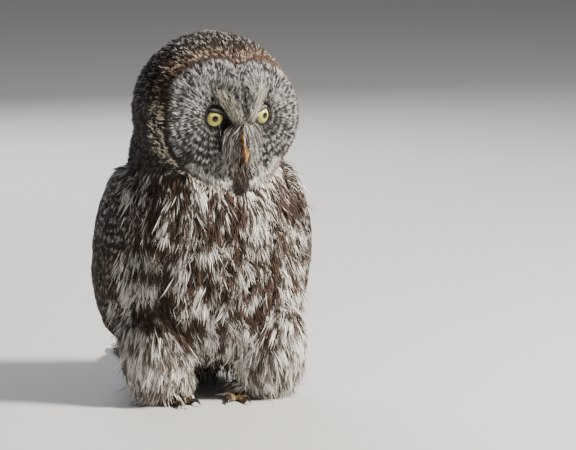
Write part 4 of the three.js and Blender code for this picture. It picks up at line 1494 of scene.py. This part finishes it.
def layTail():
    look = tailLook
    count = look["count"]
    order = np.linspace(-1, 1, count)[:, None]
    s = np.linspace(0, 1, look["rows"])[None]
    y = look["start"] + (look["length"] - look["shorter"] * np.abs(order) ** 1.7) * s
    x = order * (look["spreadRoot"] + (look["spreadTip"] - look["spreadRoot"]) * s)
    share = (y - look["root"]) / (look["tip"] - look["root"])
    arch = -look["arch"] * (1 - 0.7 * share) * (x / 0.062) ** 2
    z = np.maximum(tailLevel(share) + arch + 0.0036 * (1 - np.abs(order)), look["lowest"])
    line = np.stack([x + 0 * s, y, z], -1) + shift
    ahead = unit(np.gradient(line, axis=1))
    sideways = unit(np.cross(np.array([0.0, 0.0, 1.0]), ahead))
    half = bluntHalf(s, look["width"], 0.6, 7.0) + 0 * order
    layQuills("tail_feathers", line, sideways, ahead, half, look, look["bars"])


layTail()

print("stage: eyes, bill and claws")
eyeLook = {"rows": 60, "around": 72, "bulge": 0.0009, "pupil": 15.0, "iris": 47.0}
eyeSurface = {"Roughness": 0.35, "Specular IOR Level": 0.2, "Coat Weight": 0.55, "Coat Roughness": 0.03}
eyeGrain = {"spokes": (70.0, 2.5, 1.0), "detail": 3.0, "low": 0.82, "high": 1.18}


def eyeMaterialMade():
    # rings of colour by the angle from the pupil, times a noise drawn out into spokes
    material, tree, shader = startMaterial("yellowEye")
    place = addNode(tree, "UVMap", uv_map="iris").outputs["UV"]
    split = addNode(tree, "SeparateXYZ", {0: place})
    ramp = addNode(tree, "ValToRGB", {0: split.outputs["Y"]})
    pupil, iris = eyeLook["pupil"] / 90, eyeLook["iris"] / 90
    stops = [
        (0.0, (0.002, 0.002, 0.002)), (pupil * 0.96, (0.002, 0.002, 0.002)),
        (pupil * 1.06, (0.30, 0.26, 0.05)), (pupil * 1.45, (0.62, 0.57, 0.13)),
        (iris * 0.80, (0.70, 0.65, 0.19)), (iris * 0.95, (0.50, 0.45, 0.10)),
        (iris * 1.01, (0.03, 0.025, 0.02)), (1.0, (0.02, 0.018, 0.016)),
    ]
    elements = ramp.color_ramp.elements
    elements[0].position, elements[0].color = stops[0][0], (*stops[0][1], 1)
    elements[1].position, elements[1].color = stops[-1][0], (*stops[-1][1], 1)
    for position, colour in stops[1:-1]:
        elements.new(position).color = (*colour, 1)
    spokes = addNode(tree, "Mapping", {"Vector": place, "Scale": eyeGrain["spokes"]}).outputs[0]
    grain = addNoise(tree, spokes, 1.0, eyeGrain["detail"])
    colour = scaled(tree, ramp.outputs[0], mapped(tree, grain, eyeGrain["low"], eyeGrain["high"]))
    fill(tree, shader, eyeSurface | {"Base Color": colour})
    return material


eyeMaterial = eyeMaterialMade()


def buildEye(sign, name, node):
    # a ball, a little fuller over the pupil: radius + bulge e^-(angle / 0.62)^4
    look = eyeLook
    polar = np.linspace(0.004, math.pi - 0.004, look["rows"])[:, None]
    around = np.linspace(0, 2 * math.pi, look["around"] + 1)[None]
    radius = birdPlan["eyeRadius"] + look["bulge"] * np.exp(-(polar / 0.62) ** 4)
    points = eyePoints(sign, polar, around, radius)
    verts = points.reshape(-1, 3)
    faces = orientOut(verts, gridFaces(1, look["rows"], look["around"] + 1), plainEye(sign) + shift)
    u = np.broadcast_to(around / (2 * math.pi), points.shape[:2])
    v = np.broadcast_to(polar / (math.pi / 2), points.shape[:2])
    uvs = {"iris": np.stack([u, v], -1).reshape(-1, 2)}
    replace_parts(newObject(name, verts, faces, None, uvs, eyeMaterial), node)


buildEye(1, "eyeball_left", "eye_left")
buildEye(-1, "eyeball_right", "eye_right")


billMaterial = grainMaterial(
    "yellowHorn", hornGrain, {"Roughness": 0.38, "Coat Weight": 0.4, "Coat Roughness": 0.15}
)
clawMaterial = grainMaterial(
    "blackHorn", hornGrain, {"Roughness": 0.32, "Coat Weight": 0.3, "Coat Roughness": 0.15}
)
billPlan = {
    # ahead of the rim, up from the eyes, half width, half depth
    "upper": [
        (0.014, -0.012, 0.0056, 0.0060), (0.0250, -0.019, 0.0048, 0.0054), (0.0318, -0.030, 0.0038, 0.0044),
        (0.0325, -0.041, 0.0024, 0.0027), (0.0300, -0.0495, 0.0006, 0.0006),
    ],
    "lower": [
        (0.016, -0.027, 0.006, 0.005), (0.025, -0.033, 0.0046, 0.004), (0.029, -0.042, 0.0014, 0.0012),
    ],
    "steps": 40,
    "around": 32,
    "slim": 1.0,
}


def sweepBill(name, rows, node, yellow, orange):
    # ellipses carried along the bill's bent line, flatter below, drawn together at its tip
    steps, around = billPlan["steps"], billPlan["around"]
    values = curveThrough(rows, np.linspace(0, len(rows) - 1, steps))
    centre = headPoint(np.zeros(steps), values[:, 1], values[:, 0])
    ahead = unit(np.gradient(centre, axis=0))
    out = np.cross(ahead, headLeft)
    angle = np.linspace(0, 2 * math.pi, around, endpoint=False)[None, :, None]
    ridge = 1 + 0.10 * np.cos(angle) ** 8
    width = (values[:, 2] * billPlan["slim"]).clip(0.0003)[:, None, None]
    deep = values[:, 3].clip(0.0003)[:, None, None]
    points = (
        centre[:, None] + width * np.sin(angle) * headLeft
        - deep * np.cos(angle) * ridge * out[:, None]
    )
    verts = points.reshape(-1, 3)
    faces = orientOut(verts, gridFaces(1, steps, around, closed=True), centre[steps // 2])
    t = np.linspace(0, 1, steps)[:, None] + 0 * angle[..., 0]
    face = np.cos(angle[..., 0]) + 0 * t
    share = smooth(0.35, 0.92, np.abs(face)) * smooth(1.0, 0.70, t)
    colour = mix(orange, yellow, share)
    made = newObject(name, verts, faces, colour.reshape(-1, 3), {}, billMaterial)
    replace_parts(made, node)


sweepBill("beak_upper", billPlan["upper"], "bill_upper", (0.74, 0.40, 0.02), (0.74, 0.21, 0.006))
sweepBill("beak_lower", billPlan["lower"], "bill_lower", (0.55, 0.36, 0.08), (0.35, 0.15, 0.03))

toePlan = {
    "turns": {"inner": (-24, 0.035), "middle": (4, 0.039), "outer": (62, 0.031), "rear": (172, 0.026)},
    "height": 0.0042, "length": 0.017, "radius": 0.0028, "arch": 0.005, "drop": 0.0032, "gap": 0.0003,
    "steps": 22, "around": 16,
}


def claws(side, sign, heel):
    # each claw is a cone carried along a bent line, widest at the toe
    plan = toePlan
    t = np.linspace(0, 1, plan["steps"])[:, None]
    angle = np.linspace(0, 2 * math.pi, plan["around"], endpoint=False)[None, :, None]
    verts, faces, offset = [], [], 0
    for turn, length in plan["turns"].values():
        turn = math.radians(turn) * sign
        ahead = np.array([math.sin(turn), -math.cos(turn), 0.0])
        across = np.array([ahead[1], -ahead[0], 0.0])
        root = np.array([heel[0], heel[1], plan["height"]]) + ahead * (length + plan["gap"]) + shift
        up = np.array([0.0, 0.0, 1.0])
        bend = root + ahead * plan["length"] * 0.55 + up * plan["arch"]
        tip = root + ahead * plan["length"] - up * plan["drop"]
        line = quadratic(t, root, bend, tip)
        forward = unit(np.gradient(line, axis=0))
        over = unit(np.cross(across, forward))
        radius = (plan["radius"] * (1 - t) ** 0.75 + 0.0002)[:, None]
        ring = 0.85 * np.sin(angle) * across + np.cos(angle) * over[:, None]
        points = (line[:, None] + radius * ring).reshape(-1, 3)
        points = np.concatenate([points, root[None] - ahead * 0.0002, tip[None]])
        made = gridFaces(1, plan["steps"], plan["around"], closed=True)
        verts.append(points)
        faces.append(orientOut(points, made, line[plan["steps"] // 2]) + offset)
        offset += len(points)
    verts = np.concatenate(verts)
    verts[:, 2] = np.maximum(verts[:, 2], lowest["claws"])
    colour = np.tile((0.030, 0.027, 0.028), (len(verts), 1))
    made = newObject("claws_" + side, verts, np.concatenate(faces), colour, {}, clawMaterial)
    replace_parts(made, *["claw_" + side + "_" + toe for toe in plan["turns"]])


claws("left", 1, heels[0])
claws("right", -1, heels[1])

print("stage: floor, light and camera")
studio = {
    "azimuth": -14.32, "elevation": 8.85, "distance": 3.2, "aimHeight": 0.215,
    "pixelsPerMetre": 858.0,  # at the aim point
    "aimPixel": (205.5, 210.6),
    "imageSize": (576, 450),
    "floor": (0.52, 0.51, 0.495),
    "floorRoughness": 0.9,
    "floorHalf": 20.0,
    "world": (0.86, 0.89, 0.94),
    "worldStrength": 0.24,
    # place (right, up and towards the camera from the aim point), size, power and colour
    "lights": {
        "sunSide": ((2.0, 1.6, 0.60), 0.40, 265, (1.0, 0.945, 0.87)),
        "backFill": ((-0.6, 1.6, -2.2), 1.6, 60, (0.92, 0.95, 1.0)),
    },
}


def addFloor():
    mesh = bpy.data.meshes.new("floor")
    half = studio["floorHalf"]
    corners = [(-half, -half, 0), (half, -half, 0), (half, half, 0), (-half, half, 0)]
    mesh.from_pydata(corners, [], [(0, 1, 2, 3)])
    floor = placeObject("floor", mesh)
    material, tree, shader = startMaterial("paleFloor")
    fill(tree, shader, {"Base Color": (*studio["floor"], 1), "Roughness": studio["floorRoughness"]})
    mesh.materials.append(material)


def addWorld():
    world = bpy.data.worlds.new("studio")
    world.use_nodes = True
    background = world.node_tree.nodes["Background"]
    background.inputs[0].default_value = (*studio["world"], 1)
    background.inputs[1].default_value = studio["worldStrength"]
    bpy.context.scene.world = world


azimuth, elevation = math.radians(studio["azimuth"]), math.radians(studio["elevation"])
viewBack = np.array([math.sin(azimuth), -math.cos(azimuth), 0.0]) * math.cos(elevation)
viewBack[2] = math.sin(elevation)
viewRight = np.array([math.cos(azimuth), math.sin(azimuth), 0.0])
viewUp = np.cross(viewBack, viewRight)
aim = np.array([0.0, 0.0, studio["aimHeight"]]) + shift


def addLight(name, away, size, power, colour):
    data = bpy.data.lights.new(name, "AREA")
    data.size = size
    data.energy = power
    data.color = colour
    light = placeObject(name, data)
    place = aim + viewRight * away[0] + np.array([0, 0, 1.0]) * away[1] + viewBack * away[2]
    light.location = Vector(place)
    light.rotation_euler = Vector(aim - place).to_track_quat("-Z", "Y").to_euler()


def addCamera():
    data = bpy.data.cameras.new("camera")
    camera = placeObject("camera", data)
    width, height = studio["imageSize"]
    data.sensor_width = 36.0
    data.lens = studio["pixelsPerMetre"] * studio["distance"] / width * data.sensor_width
    camera.location = Vector(aim + viewBack * studio["distance"])
    # the camera turns so that the aim point falls on its pixel
    asideRight = (width / 2 - studio["aimPixel"][0]) / studio["pixelsPerMetre"]
    asideUp = (studio["aimPixel"][1] - height / 2) / studio["pixelsPerMetre"]
    target = aim + viewRight * asideRight + viewUp * asideUp
    camera.rotation_euler = (Vector(target) - camera.location).to_track_quat("-Z", "Y").to_euler()
    data.clip_end = 100
    bpy.context.scene.camera = camera


addFloor()
addWorld()
for name, light in studio["lights"].items():
    addLight(name, *light)
addCamera()
